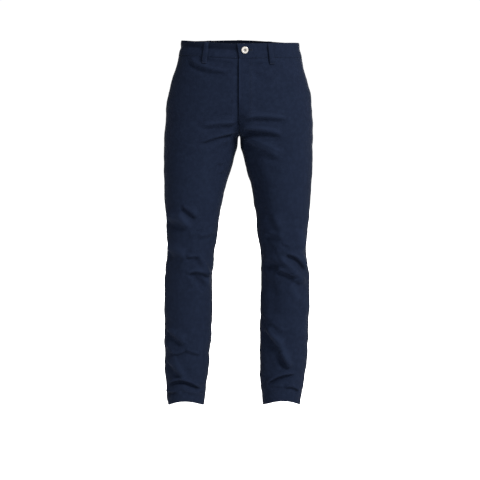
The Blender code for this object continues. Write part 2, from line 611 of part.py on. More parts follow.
def add_pocket(leg, finish):
    """Side facing that fills the slanted mouth, running on behind the front panel as the bag."""
    outer, _, s, v = panel_grid(leg, "front")
    rows = outer[:, -1, 2] > POCKET_BOTTOM
    outer, s, v = outer[rows, -POCKET_COLUMNS:], s[rows, -POCKET_COLUMNS:], v[rows, -1]
    length = row_length(leg, "front", v)
    strip = mouth_width(row_height(leg, "front", np.ones_like(v), v))
    sink = WALL + SEAM_GAP
    normal = base_frame(leg, "front", s, np.broadcast_to(v[:, None], s.shape))[1]
    columns, normals = [outer - normal * sink], [normal]
    for part in FACING_STEPS:
        clear = MOUTH_CLEAR + part * (strip - MOUTH_CLEAR - SEAM_GAP / 2)
        point, out = cloth_frame(leg, "front", s[:, -1] + np.maximum(clear, 0.0) / length, v)
        depth = sink * (1.0 - part * smooth(*MOUTH_LEVEL, strip))
        columns.append((point - out * depth[:, None])[:, None, :])
        normals.append(out[:, None, :])
    front = np.concatenate(columns, axis=1)
    back = front - np.concatenate(normals, axis=1) * POCKET_WALL
    keep = np.ones((front.shape[0] - 1, front.shape[1] - 1), bool)
    seen = strip > FACING_END
    keep[:, POCKET_COLUMNS - 1:] = (seen[:-1] & seen[1:])[:, None]
    return add_shell("pocket_" + leg, front, back, finish, keep)


# ---------------------------------------------------------------- waistband
def band_point(leg, face, distance, rise):
    """Point of the form on the waistband: distance along the cloth from the centre seam and
    height above the waist seam. A negative distance crosses to the other half."""
    distance, rise = np.broadcast_arrays(np.asarray(distance, float), np.asarray(rise, float))
    length = section_point(leg, face, np.zeros(1), np.ones(1))[1][0]
    s = np.abs(distance) / length
    cross = distance < 0.0
    z = waist_seam(leg, face, s) + rise
    point = section_point(leg, face, z, s)[0]
    ahead = section_point(leg, face, z, s + 0.01)[0]
    behind = section_point(leg, face, z, np.maximum(s - 0.01, 0.0))[0]
    along = ahead - behind
    normal = np.stack([along[..., 1], -along[..., 0], np.zeros_like(s)], axis=-1)
    normal *= SIDES[leg] * (1.0 if face == "front" else -1.0)
    normal /= np.linalg.norm(normal, axis=-1, keepdims=True)
    point[..., 0] = np.where(cross, -point[..., 0], point[..., 0])
    normal[..., 0] = np.where(cross, -normal[..., 0], normal[..., 0])
    return point, normal


def band_length(leg, face):
    return section_point(leg, face, np.zeros(1), np.ones(1))[1][0]


def band_level(leg, distance):
    """Raise of the lapping end and sink of the end beneath it, both gone past the lap."""
    lap, sign = (BAND_UNDERLAP, 1.0) if leg == "left" else (BAND_LAP, -1.0)
    return sign * BAND_STEP * (1.0 - smooth(lap + BAND_BLEND[0], lap + BAND_BLEND[1], distance))


def laid_point(leg, face, distance, rise):
    """Point of the finished cloth on or below the waistband, for what lies on it."""
    point, normal = band_point(leg, face, distance, rise)
    height = fold_height(leg, point) + (dart_height(leg, point) if face == "back" else 0.0)
    on_band = BAND_PROUD + np.maximum(height, 0.0)
    height = np.where(np.asarray(rise) > ON_BAND, on_band, height)
    return point + normal * height[..., None], normal


def band_grid(leg):
    """Columns from the end at the centre front, past the side seam, to the centre back."""
    front, back = band_length(leg, "front"), band_length(leg, "back")
    first = -BAND_LAP if leg == "left" else -BAND_UNDERLAP
    near = [first, *BAND_COLUMNS[leg]]
    ahead = near + list(np.linspace(near[-1], front, BAND_REST["front"] + 1)[1:])
    behind = list(np.linspace(back, SEAM_GAP / 2, BAND_REST["back"] + 1)[1:])
    lower = BUTTON_Z - HOLE["height"] / 2 - WAIST_SEAM["front"]
    rises = np.array([SEAM_GAP / 2, lower, lower + HOLE["height"], BAND_HEIGHT])
    outer, inner = [], []
    for face, distances in (("front", ahead), ("back", behind)):
        d, h = np.meshgrid(distances, rises[::-1])
        if face == "front":
            d = d.copy()
            shrink = BAND_LAP * (1.0 - h[:, 0] / BAND_HEIGHT) if leg == "left" else 0.0
            d[:, 0] = d[:, 0] + shrink
        point, normal = band_point(leg, face, d, h)
        level = BAND_PROUD + (band_level(leg, d) if face == "front" else 0.0)
        point = point + normal * np.asarray(level)[..., None]
        outer.append(point)
        inner.append(point - normal * BAND_WALL)
    return np.concatenate(outer, axis=1), np.concatenate(inner, axis=1)


def add_band(leg, finish):
    outer, inner = band_grid(leg)
    for grid in (outer, inner):
        grid[:, -1, 0] = SIDES[leg] * SEAM_GAP / 2
    keep = np.ones((outer.shape[0] - 1, outer.shape[1] - 1), bool)
    if leg == "left":
        keep[1, 2] = False
    return add_shell("waistband_" + leg, outer, inner, finish, keep)


# ---------------------------------------------------------------- belt loops
def loop_profile(rise):
    """Height of a loop above the band's face: its ends lie on the cloth, its middle stands off."""
    t = (rise + LOOP_DROP) / (BAND_HEIGHT + LOOP_DROP)
    return LOOP_BULGE * smooth(0.0, LOOP_TURNS["lower"], t) * smooth(0.0, LOOP_TURNS["upper"], 1.0 - t)


def add_loop(name, leg, face, distance, finish):
    rises = np.linspace(-LOOP_DROP, BAND_HEIGHT + LOOP_OVER, LOOP_ROWS + 1)[::-1]
    half = LOOP_WIDTH / 2.0
    d, h = np.meshgrid([distance - half, distance, distance + half], rises)
    point, normal = laid_point(leg, face, d, h)
    under = point + normal * (LAY_GAP + loop_profile(h))[..., None]
    return add_shell(name, under + normal * LOOP_WALL, under, finish)


# ---------------------------------------------------------------- back pockets
def add_welt(leg, finish):
    """Narrow welt of the back pocket, lying on the back panel."""
    down = WELT["drop"] + WELT["height"] * np.linspace(0.0, 1.0, WELT["rows"] + 1)
    d, h = np.meshgrid(np.linspace(WELT["from"], WELT["to"], WELT["columns"] + 1), -down)
    point, normal = laid_point(leg, "back", d, h)
    under = point + normal * LAY_GAP
    return add_shell("back_welt_" + leg, under + normal * WELT["wall"], under, finish)


# ---------------------------------------------------------------- fastenings
def add_zip_tape(finish):
    """Tape that closes the fly, with its chain, behind both turned edges."""
    rise = np.linspace(ZIP["top"], ZIP["foot"] - WAIST_SEAM["front"], ZIP["rows"] + 1)
    d, h = np.meshgrid(np.linspace(ZIP["from"], ZIP["to"], ZIP["columns"] + 1), rise)
    point, normal = band_point("left", "front", d, h)
    face = point - normal * FLY_LINING
    return add_shell("zip_tape", face, face - normal * ZIP["wall"], finish)


def add_zip_slider(finish):
    """Slider at the closed top of the chain with its pull tab hanging flat below it."""
    d = np.array([[-x, x] for x, _ in SLIDER_OUTLINE]) + SLIDER["middle"]
    h = np.array([[z, z] for _, z in SLIDER_OUTLINE]) + SLIDER["top"]
    point, normal = band_point("left", "front", d, h)
    back = point - normal * (FLY_LINING - SEAM_GAP)
    return add_shell("zip_slider", back + normal * SLIDER["wall"], back, finish)


def turned(name, profile, finish, steps):
    """Solid turned about +Z from (radius, height) points that run from axis to axis."""
    points, faces, rings = [], [], []
    for radius, height in profile:
        if radius == 0.0:
            rings.append([len(points)])
            points.append((0.0, 0.0, height))
            continue
        ring = []
        for k in range(steps):
            angle = 2.0 * math.pi * k / steps
            ring.append(len(points))
            points.append((radius * math.cos(angle), radius * math.sin(angle), height))
        rings.append(ring)
    for a, b in zip(rings, rings[1:]):
        for k in range(steps):
            n = (k + 1) % steps
            corner = [a[k % len(a)], a[n % len(a)], b[n % len(b)], b[k % len(b)]]
            face = [c for i, c in enumerate(corner) if c not in corner[:i]]
            faces.append(face)
    points = np.array(points)
    if volume(points, faces) < 0.0:
        faces = [face[::-1] for face in faces]
    return add_object(name, points, faces, finish)


def add_button(finish):
    """Dished four-part button: rounded rim, sunk centre, and the shank that passes the hole."""
    length = BAND_WALL + 2.0 * SEAM_GAP
    shank, lip = BUTTON["shank"], BUTTON["lip"]
    base = BUTTON_RADIUS - lip - BUTTON["foot"]
    profile = [(0.0, -length), (shank, -length), (shank, 0.0), (base, 0.0)]
    for angle in np.radians(np.linspace(-90.0, 90.0, 7)):
        profile.append((BUTTON_RADIUS - lip + lip * math.cos(angle),
                        BUTTON["lip_height"] * (1.0 + math.sin(angle))))
    profile += BUTTON_DISH
    button = turned("waist_button", profile, finish, BUTTON["sides"])
    spot, normal = band_point("left", "front", np.array([BUTTON_X]),
                              np.array([BUTTON_Z - WAIST_SEAM["front"]]))
    spot = spot[0] + normal[0] * (BAND_PROUD + BAND_STEP + 2.0 * SEAM_GAP)
    turn = Vector((0.0, 0.0, 1.0)).rotation_difference(Vector(normal[0]))
    button.matrix_world = Matrix.Translation(Vector(spot)) @ turn.to_matrix().to_4x4()
    return button


# ---------------------------------------------------------------- assembly
def build():
    for item in list(bpy.data.objects):
        bpy.data.objects.remove(item, do_unlink=True)
    cloth = material("navy twill", COLOURS["cloth"], 0.85)
    pocketing = material("pocket cloth", COLOURS["pocketing"], 0.85)
    tape = material("zip tape", COLOURS["tape"], 0.7)
    brass = material("zip metal", COLOURS["brass"], 0.35, 1.0)
    pearl = material("button", COLOURS["button"], 0.25)
    for leg in SIDES:
        for face in ("front", "back"):
            add_panel(leg, face, cloth)
        add_pocket(leg, pocketing)
        add_band(leg, cloth)
        add_welt(leg, cloth)
    for name, leg, face, distance in LOOPS:
        add_loop(name, leg, face, distance, cloth)
    add_zip_tape(tape)
    add_zip_slider(brass)
    add_button(pearl)


build()
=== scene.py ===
"""Worn chino trousers: cloth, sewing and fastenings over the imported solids, and the stage.

Frame: metres, +Z up, the front faces -Y, the wearer's left leg is on +X. Each operator makes one
group of pieces; the panel in the sidebar lists them in the order in which they run.
"""
import math

import bpy
import numpy as np
from mathutils import Matrix, Vector


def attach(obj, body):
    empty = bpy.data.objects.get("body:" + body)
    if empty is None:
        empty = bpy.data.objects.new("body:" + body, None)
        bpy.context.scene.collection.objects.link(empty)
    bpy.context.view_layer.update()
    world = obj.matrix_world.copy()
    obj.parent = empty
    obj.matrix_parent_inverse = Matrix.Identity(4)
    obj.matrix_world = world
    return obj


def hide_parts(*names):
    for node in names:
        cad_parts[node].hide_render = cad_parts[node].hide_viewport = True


bl_info = {
    "name": "Worn chino trousers",
    "version": (1, 0, 0),
    "blender": (4, 5, 0),
    "location": "3D View > Sidebar > Trousers",
    "description": "Makes a pair of worn chino trousers with their sewing, fastenings and stage",
    "category": "Object",
}

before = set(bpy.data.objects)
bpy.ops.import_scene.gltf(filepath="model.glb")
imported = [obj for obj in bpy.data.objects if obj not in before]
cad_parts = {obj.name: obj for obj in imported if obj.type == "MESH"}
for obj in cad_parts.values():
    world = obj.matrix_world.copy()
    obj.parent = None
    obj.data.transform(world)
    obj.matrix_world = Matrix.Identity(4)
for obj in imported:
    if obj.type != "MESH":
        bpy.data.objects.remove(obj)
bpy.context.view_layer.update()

# ---- form, as in the solids
SEAM_GAP = 0.0003           # between two pieces that are sewn together
CLOTH_WALL = 0.0012
HEM_DEPTH = 0.034           # height of the turned-up hem
HEM_BLEND = 0.004
HEM_CURVE_FROM = 0.86       # share of the leg from which the rows take on the hem's curve
BAND_HEIGHT = 0.041
BAND_PROUD = 0.0008         # how far the waistband's face stands out from the form
BAND_LAP = 0.0065           # how far its left half laps past the middle
BAND_UNDERLAP = 0.040       # how far its right half runs on beneath
BAND_STEP = {"left": 0.0024, "right": -0.0024}   # raise of the lapped end, sink of the one beneath
BAND_BLEND = (0.006, 0.038)   # distances past the lap between which that step fades
BAND_FOLD = {"at": 0.0225, "spread": 0.0075, "left": 0.0012, "right": 0.0026}   # soft fold along it
BAND_SHADE = {"from": 0.0205, "to": 0.0275, "left": 0.0, "right": 0.70}   # painted shadow on the band's upper half, above the fold
TOP_FOLLOWS = 0.014         # distance under the band over which the fronts follow its step
FLY_BOTTOM = -0.190
FLY_WIDTH = 0.036
FLY_EDGE = 0.001            # the left front's edge lies this far past the middle
FLY_UNDERLAP = 0.006        # and the right front's
FLY_LAP_ENDS = (-0.205, -0.188)
FLY_RAISE = 0.0028
FLY_SINK = 0.0036
FLY_FADE = (0.030, 0.004)   # distances below and above the foot over which raise and sink fade
FLY_SHOULDERS = {"raised": (-0.006, 0.010), "sunk": (0.0, 0.010)}
FLY_LINING = FLY_SINK + CLOTH_WALL + 2 * SEAM_GAP   # depth of the zip behind the form
MOUTH_WIDTH = 0.038
MOUTH_BOTTOM = -0.165
POCKET_BOTTOM = -0.262
POCKET_SHARE = 8 / 15       # share of the front's width behind which the bag runs
LOOP_WIDTH = 0.0135
LOOP_DROP = 0.017
LOOP_BULGE = 0.0032
LOOP_OVER = 0.0006
LOOP_TURNS = {"upper": 0.16, "lower": 0.22}
ON_BAND = -0.002            # rise above which a laid piece lies on the waistband
LAID_BLEND = 0.002          # half the stretch over which it passes on to it
BUTTON_RADIUS = 0.0093
BUTTON_X = 0.0153
BUTTON_Z = -0.0035
HOLE = {"from": 0.0125, "to": 0.0335, "height": 0.0024}
ZIP = {"from": -0.012, "to": 0.022, "top": -0.001, "foot": -0.130, "middle": 0.0135}
WELT = {"from": 0.045, "to": 0.175, "drop": 0.078, "height": 0.011}
# Name, leg, face and distance from the centre seam of each belt loop.
LOOPS = (
    ("loop_front_left", "left", "front", 0.086),
    ("loop_front_right", "right", "front", 0.092),
    ("loop_side_left", "left", "back", 0.190),
    ("loop_side_right", "right", "back", 0.187),
    ("loop_back_left", "left", "back", 0.090),
    ("loop_back_right", "right", "back", 0.090),
    ("loop_centre_back", "left", "back", 0.0),
)
CROTCH_Z = -0.239
HEM_Z = -1.012
FORM_COLUMNS = ("height", "front", "back", "front_crest", "back_crest")
FORM = (
    (0.034, -0.1030, 0.1010, 0.00, 0.00),
    (-0.020, -0.1060, 0.1090, 0.00, 0.00),
    (-0.060, -0.1085, 0.1210, 0.00, 0.00),
    (-0.090, -0.1088, 0.1310, 0.00, 0.00),
    (-0.115, -0.1085, 0.1365, 0.00, 0.06),
    (-0.150, -0.1072, 0.1390, 0.07, 0.22),
    (-0.195, -0.1050, 0.1335, 0.26, 0.38),
    (-0.239, -0.1035, 0.1190, 0.46, 0.46),
    (-0.300, -0.1005, 0.0990, 0.50, 0.48),
    (-0.400, -0.0935, 0.0780, 0.50, 0.48),
    (-0.480, -0.0865, 0.0640, 0.50, 0.48),
    (-0.555, -0.0800, 0.0570, 0.50, 0.48),
    (-0.640, -0.0690, 0.0640, 0.50, 0.50),
    (-0.720, -0.0610, 0.0720, 0.50, 0.50),
    (-0.820, -0.0550, 0.0740, 0.50, 0.50),
    (-0.920, -0.0525, 0.0700, 0.50, 0.50),
    (-1.020, -0.0550, 0.0655, 0.50, 0.50),
)
WIDTH_COLUMNS = ("height", "outer_left", "inner_left", "outer_right", "inner_right")
WIDTHS = (
    (0.034, 0.1660, 0.0000, 0.1620, 0.0000),
    (0.008, 0.1690, 0.0000, 0.1655, 0.0000),
    (-0.020, 0.1755, 0.0000, 0.1710, 0.0000),
    (-0.050, 0.1805, 0.0000, 0.1790, 0.0000),
    (-0.084, 0.1915, 0.0000, 0.1904, 0.0000),
    (-0.118, 0.2000, 0.0000, 0.1990, 0.0000),
    (-0.152, 0.2035, 0.0000, 0.2046, 0.0000),
    (-0.190, 0.2060, 0.0000, 0.2070, 0.0000),
    (-0.239, 0.2068, 0.0000, 0.2100, 0.0000),
    (-0.2425, 0.2068, 0.0026, 0.2102, 0.0034),
    (-0.252, 0.2065, 0.0042, 0.2110, 0.0056),
    (-0.272, 0.2060, 0.0063, 0.2120, 0.0080),
    (-0.300, 0.2060, 0.0125, 0.2120, 0.0145),
    (-0.341, 0.2050, 0.0240, 0.2115, 0.0270),
    (-0.400, 0.2012, 0.0385, 0.2110, 0.0440),
    (-0.460, 0.1975, 0.0475, 0.2070, 0.0560),
    (-0.520, 0.1920, 0.0530, 0.2045, 0.0635),
    (-0.563, 0.1885, 0.0600, 0.2030, 0.0705),
    (-0.600, 0.1930, 0.0630, 0.2070, 0.0740),
    (-0.650, 0.1990, 0.0628, 0.2115, 0.0785),
    (-0.720, 0.2000, 0.0615, 0.2130, 0.0780),
    (-0.800, 0.1965, 0.0605, 0.2130, 0.0805),
    (-0.860, 0.1955, 0.0604, 0.2132, 0.0860),
    (-0.920, 0.1888, 0.0606, 0.2118, 0.0905),
    (-0.960, 0.1825, 0.0630, 0.2090, 0.0970),
    (-1.020, 0.1720, 0.0715, 0.2025, 0.1030),
)
STANCE_COLUMNS = ("height", "left", "right")
STANCE = (
    (-0.239, 0.000, 0.000),
    (-0.400, 0.000, -0.002),
    (-0.560, 0.003, -0.006),
    (-0.760, 0.006, -0.004),
    (-1.020, 0.006, 0.000),
)
RISES = {"front": {"start": -0.115, "power": 2.6}, "back": {"start": -0.090, "power": 2.8}}
SQUARENESS_HIP = 2.45
SQUARENESS_LEG = 2.15
SQUARENESS_TURN = (-0.12, -0.34)
SEAM_FORWARD = 0.005
WAIST_SEAM = {"front": -0.0265, "side": -0.0180, "back": -0.0090, "roll": 0.0035}
SIDE_CROTCH_Z = -0.285
HEM_RISE = {"front": 0.018, "back": -0.006}
DART = {"from_middle": 0.078, "foot": -0.098, "fade": 0.030, "width": 0.004, "depth": 0.0014,
        "top": -0.011, "caught": 0.014}   # it is flat where the waistband catches it

# ---- folds
# One row per fold, in millimetres, on the surface above the points (x, z) of its start, middle and
# end as seen from the front. lift raises a rounded ridge; tuck raises the upper side and sinks the
# lower one.
FOLD_COLUMNS = ("x0", "z0", "x1", "z1", "x2", "z2", "width", "lift", "tuck")
FOLDS = {}
FOLDS["left", "front"] = (
    # from the crotch and the fly's foot across the thighs
    (6, -191.5, 65, -190, 138, -196, 9, 0, 4.4),
    (6, -220, 65, -228, 124, -240, 10, 0, 5.6),
    (14, -236, 66, -256, 130, -291, 4.8, 3.6, 0),
    (12, -252, 59, -275, 118, -308, 13, 0, 4.8),
    (50, -300, 88, -322, 124, -350, 14, 0, 1.4),
    (120, -36, 92, -47, 52, -54, 11, 0, 1.2),
    (46, -60, 72, -78, 96, -84, 12, 0, 1),
    (80, -36, 45, -39, 10, -36, 7, 0, 1.4),
    # the inner third of the leg is turned away from the front
    (28, -280, 55, -390, 72, -500, 20, -4.5, 0),
    (66, -465, 86, -620, 100, -790, 23, -5.8, 0),
    (74, -770, 86, -855, 94, -925, 18, -5, 0),
    # knee
    (84, -455, 101, -490, 118, -520, 12, 0, 2.8),
    (64, -522, 95, -519, 121, -533, 9, 0, 3.4),
    (118, -543, 130, -545, 141, -546, 5, 0, 1.8),
    (166, -494, 174, -526, 185, -560, 12, 5.2, 0),
    (98, -561, 120, -565, 143, -564, 8, 2, 0),
    (127, -571, 159, -583, 189, -622, 6.5, 0, 4.8),
    (157, -555, 176, -579, 192, -613, 6.5, 4.8, 0),
    (104, -571, 141, -606, 189, -660, 7, 7.8, 0),
    (101, -617, 131, -624, 161, -637, 7.4, 0, 4.8),
    (144, -644, 158, -648, 173, -656, 5, 0, 2.2),
    (69, -598, 90, -596, 113, -603, 12, 0, 5),
    (136, -652, 156, -680, 170, -712, 11, 3.6, 0),
    (66, -640, 92, -660, 120, -690, 16, 0, 1.6),
    # shins
    (80, -778, 101, -808, 134, -828, 9, 5, 0),
    (64, -756, 93, -775, 127, -804, 11, 0, 2.2),
    (64, -792, 98, -827, 142, -904, 12, 0, 4.8),
    (112, -866, 127, -883, 143, -904, 6, 0, 2.8),
    (115, -848, 134, -872, 149, -898, 6, 4, 0),
    (190, -727, 184, -758, 186, -792, 8, 2, 0),
    # breaks above the hems
    (79, -948, 116, -923, 160, -917, 5.2, 0, 5.4),
    (81, -950, 104, -952, 127, -950, 4.5, 0, 1.8),
    (127, -955, 144, -947, 158, -941, 4, 2.2, 0),
    (129, -957, 148, -954, 172, -969, 4.5, 0, 3.2),
    (81, -957, 94, -958, 108, -957, 4.5, 1.4, 0),
)
FOLDS["left", "back"] = (
    # behind: under the seat, behind the knees, over the calves and at the hems
    (20, -276, 80, -292, 150, -284, 11, 0, 4),
    (40, -318, 90, -330, 140, -356, 10, 0, 2.8),
    (12, -232, 52, -250, 100, -252, 12, 0, 1.8),
    (100, -470, 130, -476, 170, -466, 9, 0, 2.2),
    (66, -520, 120, -534, 176, -526, 8, 0, 4),
    (100, -552, 128, -550, 150, -556, 6, 0, 2),
    (78, -566, 126, -574, 168, -592, 9, 0, 4.2),
    (88, -604, 120, -612, 156, -632, 9, 0, 2.4),
    (84, -760, 120, -790, 166, -806, 10, 0, 3.2),
    (176, -840, 140, -862, 104, -868, 9, 2.4, 0),
    (84, -926, 122, -916, 162, -930, 7, 0, 3.8),
    (90, -950, 124, -944, 150, -950, 6, 0, 2),
)
FOLDS["right", "front"] = (
    # from the crotch and the fly's foot across the thighs
    (6, -206, 58, -209, 112, -216, 9, 0, 4),
    (10, -231, 58, -242, 112, -262, 6, 0, 3.6),
    (22, -252, 52, -268, 88, -292, 10, 0, 1.6),
    (143, -22, 102, -53, 26, -64, 8, 0, 3.4),
    (119, -176, 68, -171, 15, -176, 13, 0, 1.2),
    (92, -28, 50, -34, 4, -40, 9, 0, 1.8),
    # thigh and knee
    (64, -318, 52, -317, 42, -313, 6, 0, 1.6),
    (64, -343, 52, -342, 40, -338, 6, 0, 1.5),
    (162, -431, 141, -450, 118, -470, 6.5, 0, 3.6),
    (144, -426, 127, -444, 111, -467, 5.5, 2.2, 0),
    (172, -450, 152, -474, 129, -500, 8, 4.6, 0),
    (204, -474, 176, -481, 143, -496, 13, 0, 5.2),
    (124, -501, 113, -499, 100, -499, 4.5, 0, 1.4),
    (142, -513, 121, -512, 98, -509, 7, 1.6, 0),
    (116, -523, 91, -518, 68, -511, 9, 0, 2.4),
    (198, -530, 196, -548, 199, -568, 6, 2, 0),
    (200, -562, 176, -572, 150, -586, 15, 0, 4.6),
    (137, -561, 128, -560, 118, -563, 5, 1.6, 0),
    (150, -577, 133, -578, 113, -575, 5.5, 0, 3.2),
    (118, -562, 101, -597, 85, -640, 6.2, 6, 0),
    (147, -631, 119, -620, 86, -634, 6.5, 0, 4.4),
    (128, -628, 108, -640, 91, -670, 11, 0, 4.8),
    (146, -640, 122, -658, 96, -694, 9, 3, 0),
    (196, -588, 176, -606, 158, -632, 15, 0, 1.6),
    (205.5, -640, 204, -700, 196, -771, 9, 1.6, 0),
    # shins
    (176, -792, 160, -806, 154, -832, 6, 3, 0),
    (206, -793, 180, -810, 156, -836, 9, 0, 3.8),
    (197, -836, 177, -838, 158, -835, 5, 1.6, 0),
    (195, -852, 173, -857, 150, -844, 5, 0, 3),
    (156, -843, 134, -853, 109, -862, 5.5, 0, 2.6),
    (209, -817, 183, -869, 150, -934, 7, 3.6, 0),
    (206, -880, 183, -903, 158, -930, 9, 0, 3.4),
    (157, -902, 148, -900, 139, -898, 4, 0, 1.4),
    # breaks above the hems
    (202, -949, 160, -934, 108, -962, 5.2, 0, 5.6),
    (207, -972, 191, -969, 174, -966, 4.5, 0, 3.2),
    (169, -962, 140, -969, 111, -983, 6, 0, 1.8),
)
FOLDS["right", "back"] = (
    # behind: under the seat, behind the knees, over the calves and at the hems
    (22, -282, 85, -300, 155, -296, 11, 0, 3.8),
    (50, -330, 84, -345, 120, -370, 10, 0, 2),
    (12, -236, 48, -256, 92, -262, 12, 0, 1.8),
    (78, -512, 130, -520, 188, -540, 8, 0, 4),
    (112, -546, 138, -548, 160, -552, 6, 0, 2),
    (92, -574, 136, -566, 182, -578, 9, 0, 4.2),
    (94, -618, 138, -612, 170, -628, 8, 0, 3.2),
    (104, -474, 140, -470, 178, -482, 10, 0, 2),
    (188, -770, 150, -800, 108, -812, 10, 0, 3.2),
    (106, -850, 140, -872, 180, -878, 9, 2.4, 0),
    (112, -930, 150, -922, 190, -936, 7, 0, 3.8),
    (120, -954, 150, -948, 180, -956, 6, 0, 2),
)
FOLD_STEPS = 14
FOLD_REACH = 4.0           # a fold moves the cloth up to this many widths away
FOLD_FADE = (0.18, 0.24)   # shares of its length over which it starts and ends
FOLD_GAIN = 1.25
FOLD_TAPER = 0.25          # a fold is this share narrower at its ends
# The steepness between which a tuck gets painted shade along its fold, and where across the tuck
# that painted shade is darkest and how far it spreads, in widths.
CREASE_SHADE = {"from": 0.30, "to": 0.95, "offset": 0.40, "spread": 0.90}
# Length from crest to crest and height of the worn cloth's soft waves.
WAVES = ((0.085, 0.00075), (0.046, 0.00042), (0.024, 0.00018))
WAVES_PER_LENGTH = 9
WAVE_TILT = 0.55           # how far the crests may turn away from level
CALM_COLUMNS = ("height", "share")   # share of the waves that shows at each height
CALM = ((0.034, 0.20), (-0.060, 0.45), (-0.200, 0.90), (-0.300, 0.75), (-0.400, 0.60),
        (-0.520, 1.00), (-0.640, 1.00), (-0.720, 0.80), (-0.860, 1.00), (-0.960, 1.10),
        (-1.020, 0.80))

ARC_SAMPLES = 120
RISE_SAMPLES = 240
ROW_SAMPLES = 401
NORMAL_STEP = 0.004        # share of a panel's width and length over which its slope is taken
SLOPE_STEP = 0.002
EASE = {"height": 0.0014, "from": -0.050, "to": -0.200}   # the legs' cloth stands off a little more
CHUNK = 3000               # points whose sections are worked out at a time
EDGE_STEPS = (0.0, 0.06, 0.25, 0.55, 1.0)   # rows of a rounded edge, as shares of its radius
EDGE_CLEAR = 1.2           # the next row lies further in than this many radii
SIDES = {"left": 1, "right": -1}         # where each leg lies along X
FACES = {"front": 1.0, "back": -1.0}     # which way each face looks along -Y
SEED = 11


# ---- settings
def length_setting(name, text, default):
    return bpy.props.FloatProperty(name=name, description=text, default=default, min=0.0,
                                   precision=5, unit="LENGTH", subtype="DISTANCE")


def colour_setting(name, text, default):
    return bpy.props.FloatVectorProperty(name=name, description=text, default=default, size=3,
                                         min=0.0, max=1.0, subtype="COLOR")


class TrousersSizes(bpy.types.PropertyGroup):
    cell: length_setting("Mesh cell", "Size of the cells of the cloth's mesh", 0.0030)
    wall: length_setting("Cloth", "Thickness of the cloth", CLOTH_WALL)
    hem_wall: length_setting("Hem", "Thickness of the turned-up hem", 0.0024)
    band_wall: length_setting("Waistband", "Thickness of the waistband", 0.0026)
    loop_wall: length_setting("Belt loop", "Thickness of a belt loop", 0.0018)
    welt_wall: length_setting("Welt", "Thickness of a back pocket's welt", 0.0014)
    seam_depth: length_setting("Seam groove", "Depth of the grooves along seams", 0.0007)
    pucker: length_setting("Pucker", "Height of the puckers that stitching draws in", 0.00028)
    stitch: length_setting("Stitch", "Length of a stitch on top of the cloth", 0.0025)
    stitch_gap: length_setting("Stitch gap", "Distance between two stitches", 0.0008)
    thread: length_setting("Thread", "Radius of the sewing thread", 0.00027)
    tooth: length_setting("Zip tooth", "Pitch of the zip's teeth", 0.0021)
    twill: length_setting("Twill", "Distance between two ribs of the twill", 0.0011)


class TrousersColours(bpy.types.PropertyGroup):
    cloth: colour_setting("Cloth", "Colour of the twill", (0.0025, 0.0040, 0.0090))
    # worn colour: worn cloth in pale clouds, on crests and along hems, and painted highlight on crests
    # and on the fly's and mouths' edges
    worn: colour_setting("Worn cloth", "Colour of the twill on edges and crests",
                         (0.0041, 0.0064, 0.0138))
    thread: colour_setting("Thread", "Colour of the sewing thread", (0.0025, 0.0040, 0.0090))
    pocketing: colour_setting("Pocketing", "Colour of the pocket bags", (0.0030, 0.0048, 0.0106))
    tape: colour_setting("Zip tape", "Colour of the zip's tape", (0.0027, 0.0040, 0.0084))
    brass: colour_setting("Brass", "Colour of the zip's teeth and slider", (0.42, 0.33, 0.19))
    button: colour_setting("Button", "Colour of the button", (0.225, 0.212, 0.192))
    button_middle: colour_setting("Button's middle", "Colour of its dished middle",
                                  (0.060, 0.050, 0.043))
    floor: colour_setting("Floor", "Colour of the floor", (0.985, 0.985, 0.985))


def sizes():
    return bpy.context.scene.trousers_sizes


def colours():
    return bpy.context.scene.trousers_colours


# ---- curves through the tables
def smooth(edge0, edge1, x):
    t = np.clip((np.asarray(x, float) - edge0) / (edge1 - edge0), 0.0, 1.0)
    return t * t * (3.0 - 2.0 * t)


def bell(distance, spread):
    return np.exp(-(distance / spread) ** 2)


def curve(xs, ys, x):
    """Monotone cubic curve through the points (xs, ys), xs ascending."""
    h = np.diff(xs)
    slope = np.diff(ys) / h
    tangent = np.zeros(len(xs))
    same = slope[:-1] * slope[1:] > 0.0
    w1 = 2.0 * h[1:] + h[:-1]
    w2 = h[1:] + 2.0 * h[:-1]
    safe = np.where(same, slope[:-1], 1.0), np.where(same, slope[1:], 1.0)
    tangent[1:-1] = np.where(same, (w1 + w2) / (w1 / safe[0] + w2 / safe[1]), 0.0)
    tangent[0], tangent[-1] = slope[0], slope[-1]
    x = np.clip(x, xs[0], xs[-1])
    i = np.clip(np.searchsorted(xs, x) - 1, 0, len(h) - 1)
    t = (x - xs[i]) / h[i]
    a = ys[i] * (1 + 2 * t) * (1 - t) ** 2 + h[i] * tangent[i] * t * (1 - t) ** 2
    b = ys[i + 1] * t * t * (3 - 2 * t) + h[i] * tangent[i + 1] * t * t * (t - 1)
    return a + b


def read_table(rows, columns, name, z):
    data = np.array(rows[::-1])
    return curve(data[:, 0], data[:, columns.index(name)], z)


def depth_at(face, z):
    return read_table(FORM, FORM_COLUMNS, face, z)


def rise_fraction(face, z):
    """How far out of the inseam (0) towards the front or back (1) the centre seam lies at z."""
    rise = RISES[face]
    drop = np.clip((rise["start"] - z) / (rise["start"] - CROTCH_Z), 0.0, 1.0)
    return (1.0 - drop ** rise["power"]) ** (1.0 / rise["power"])


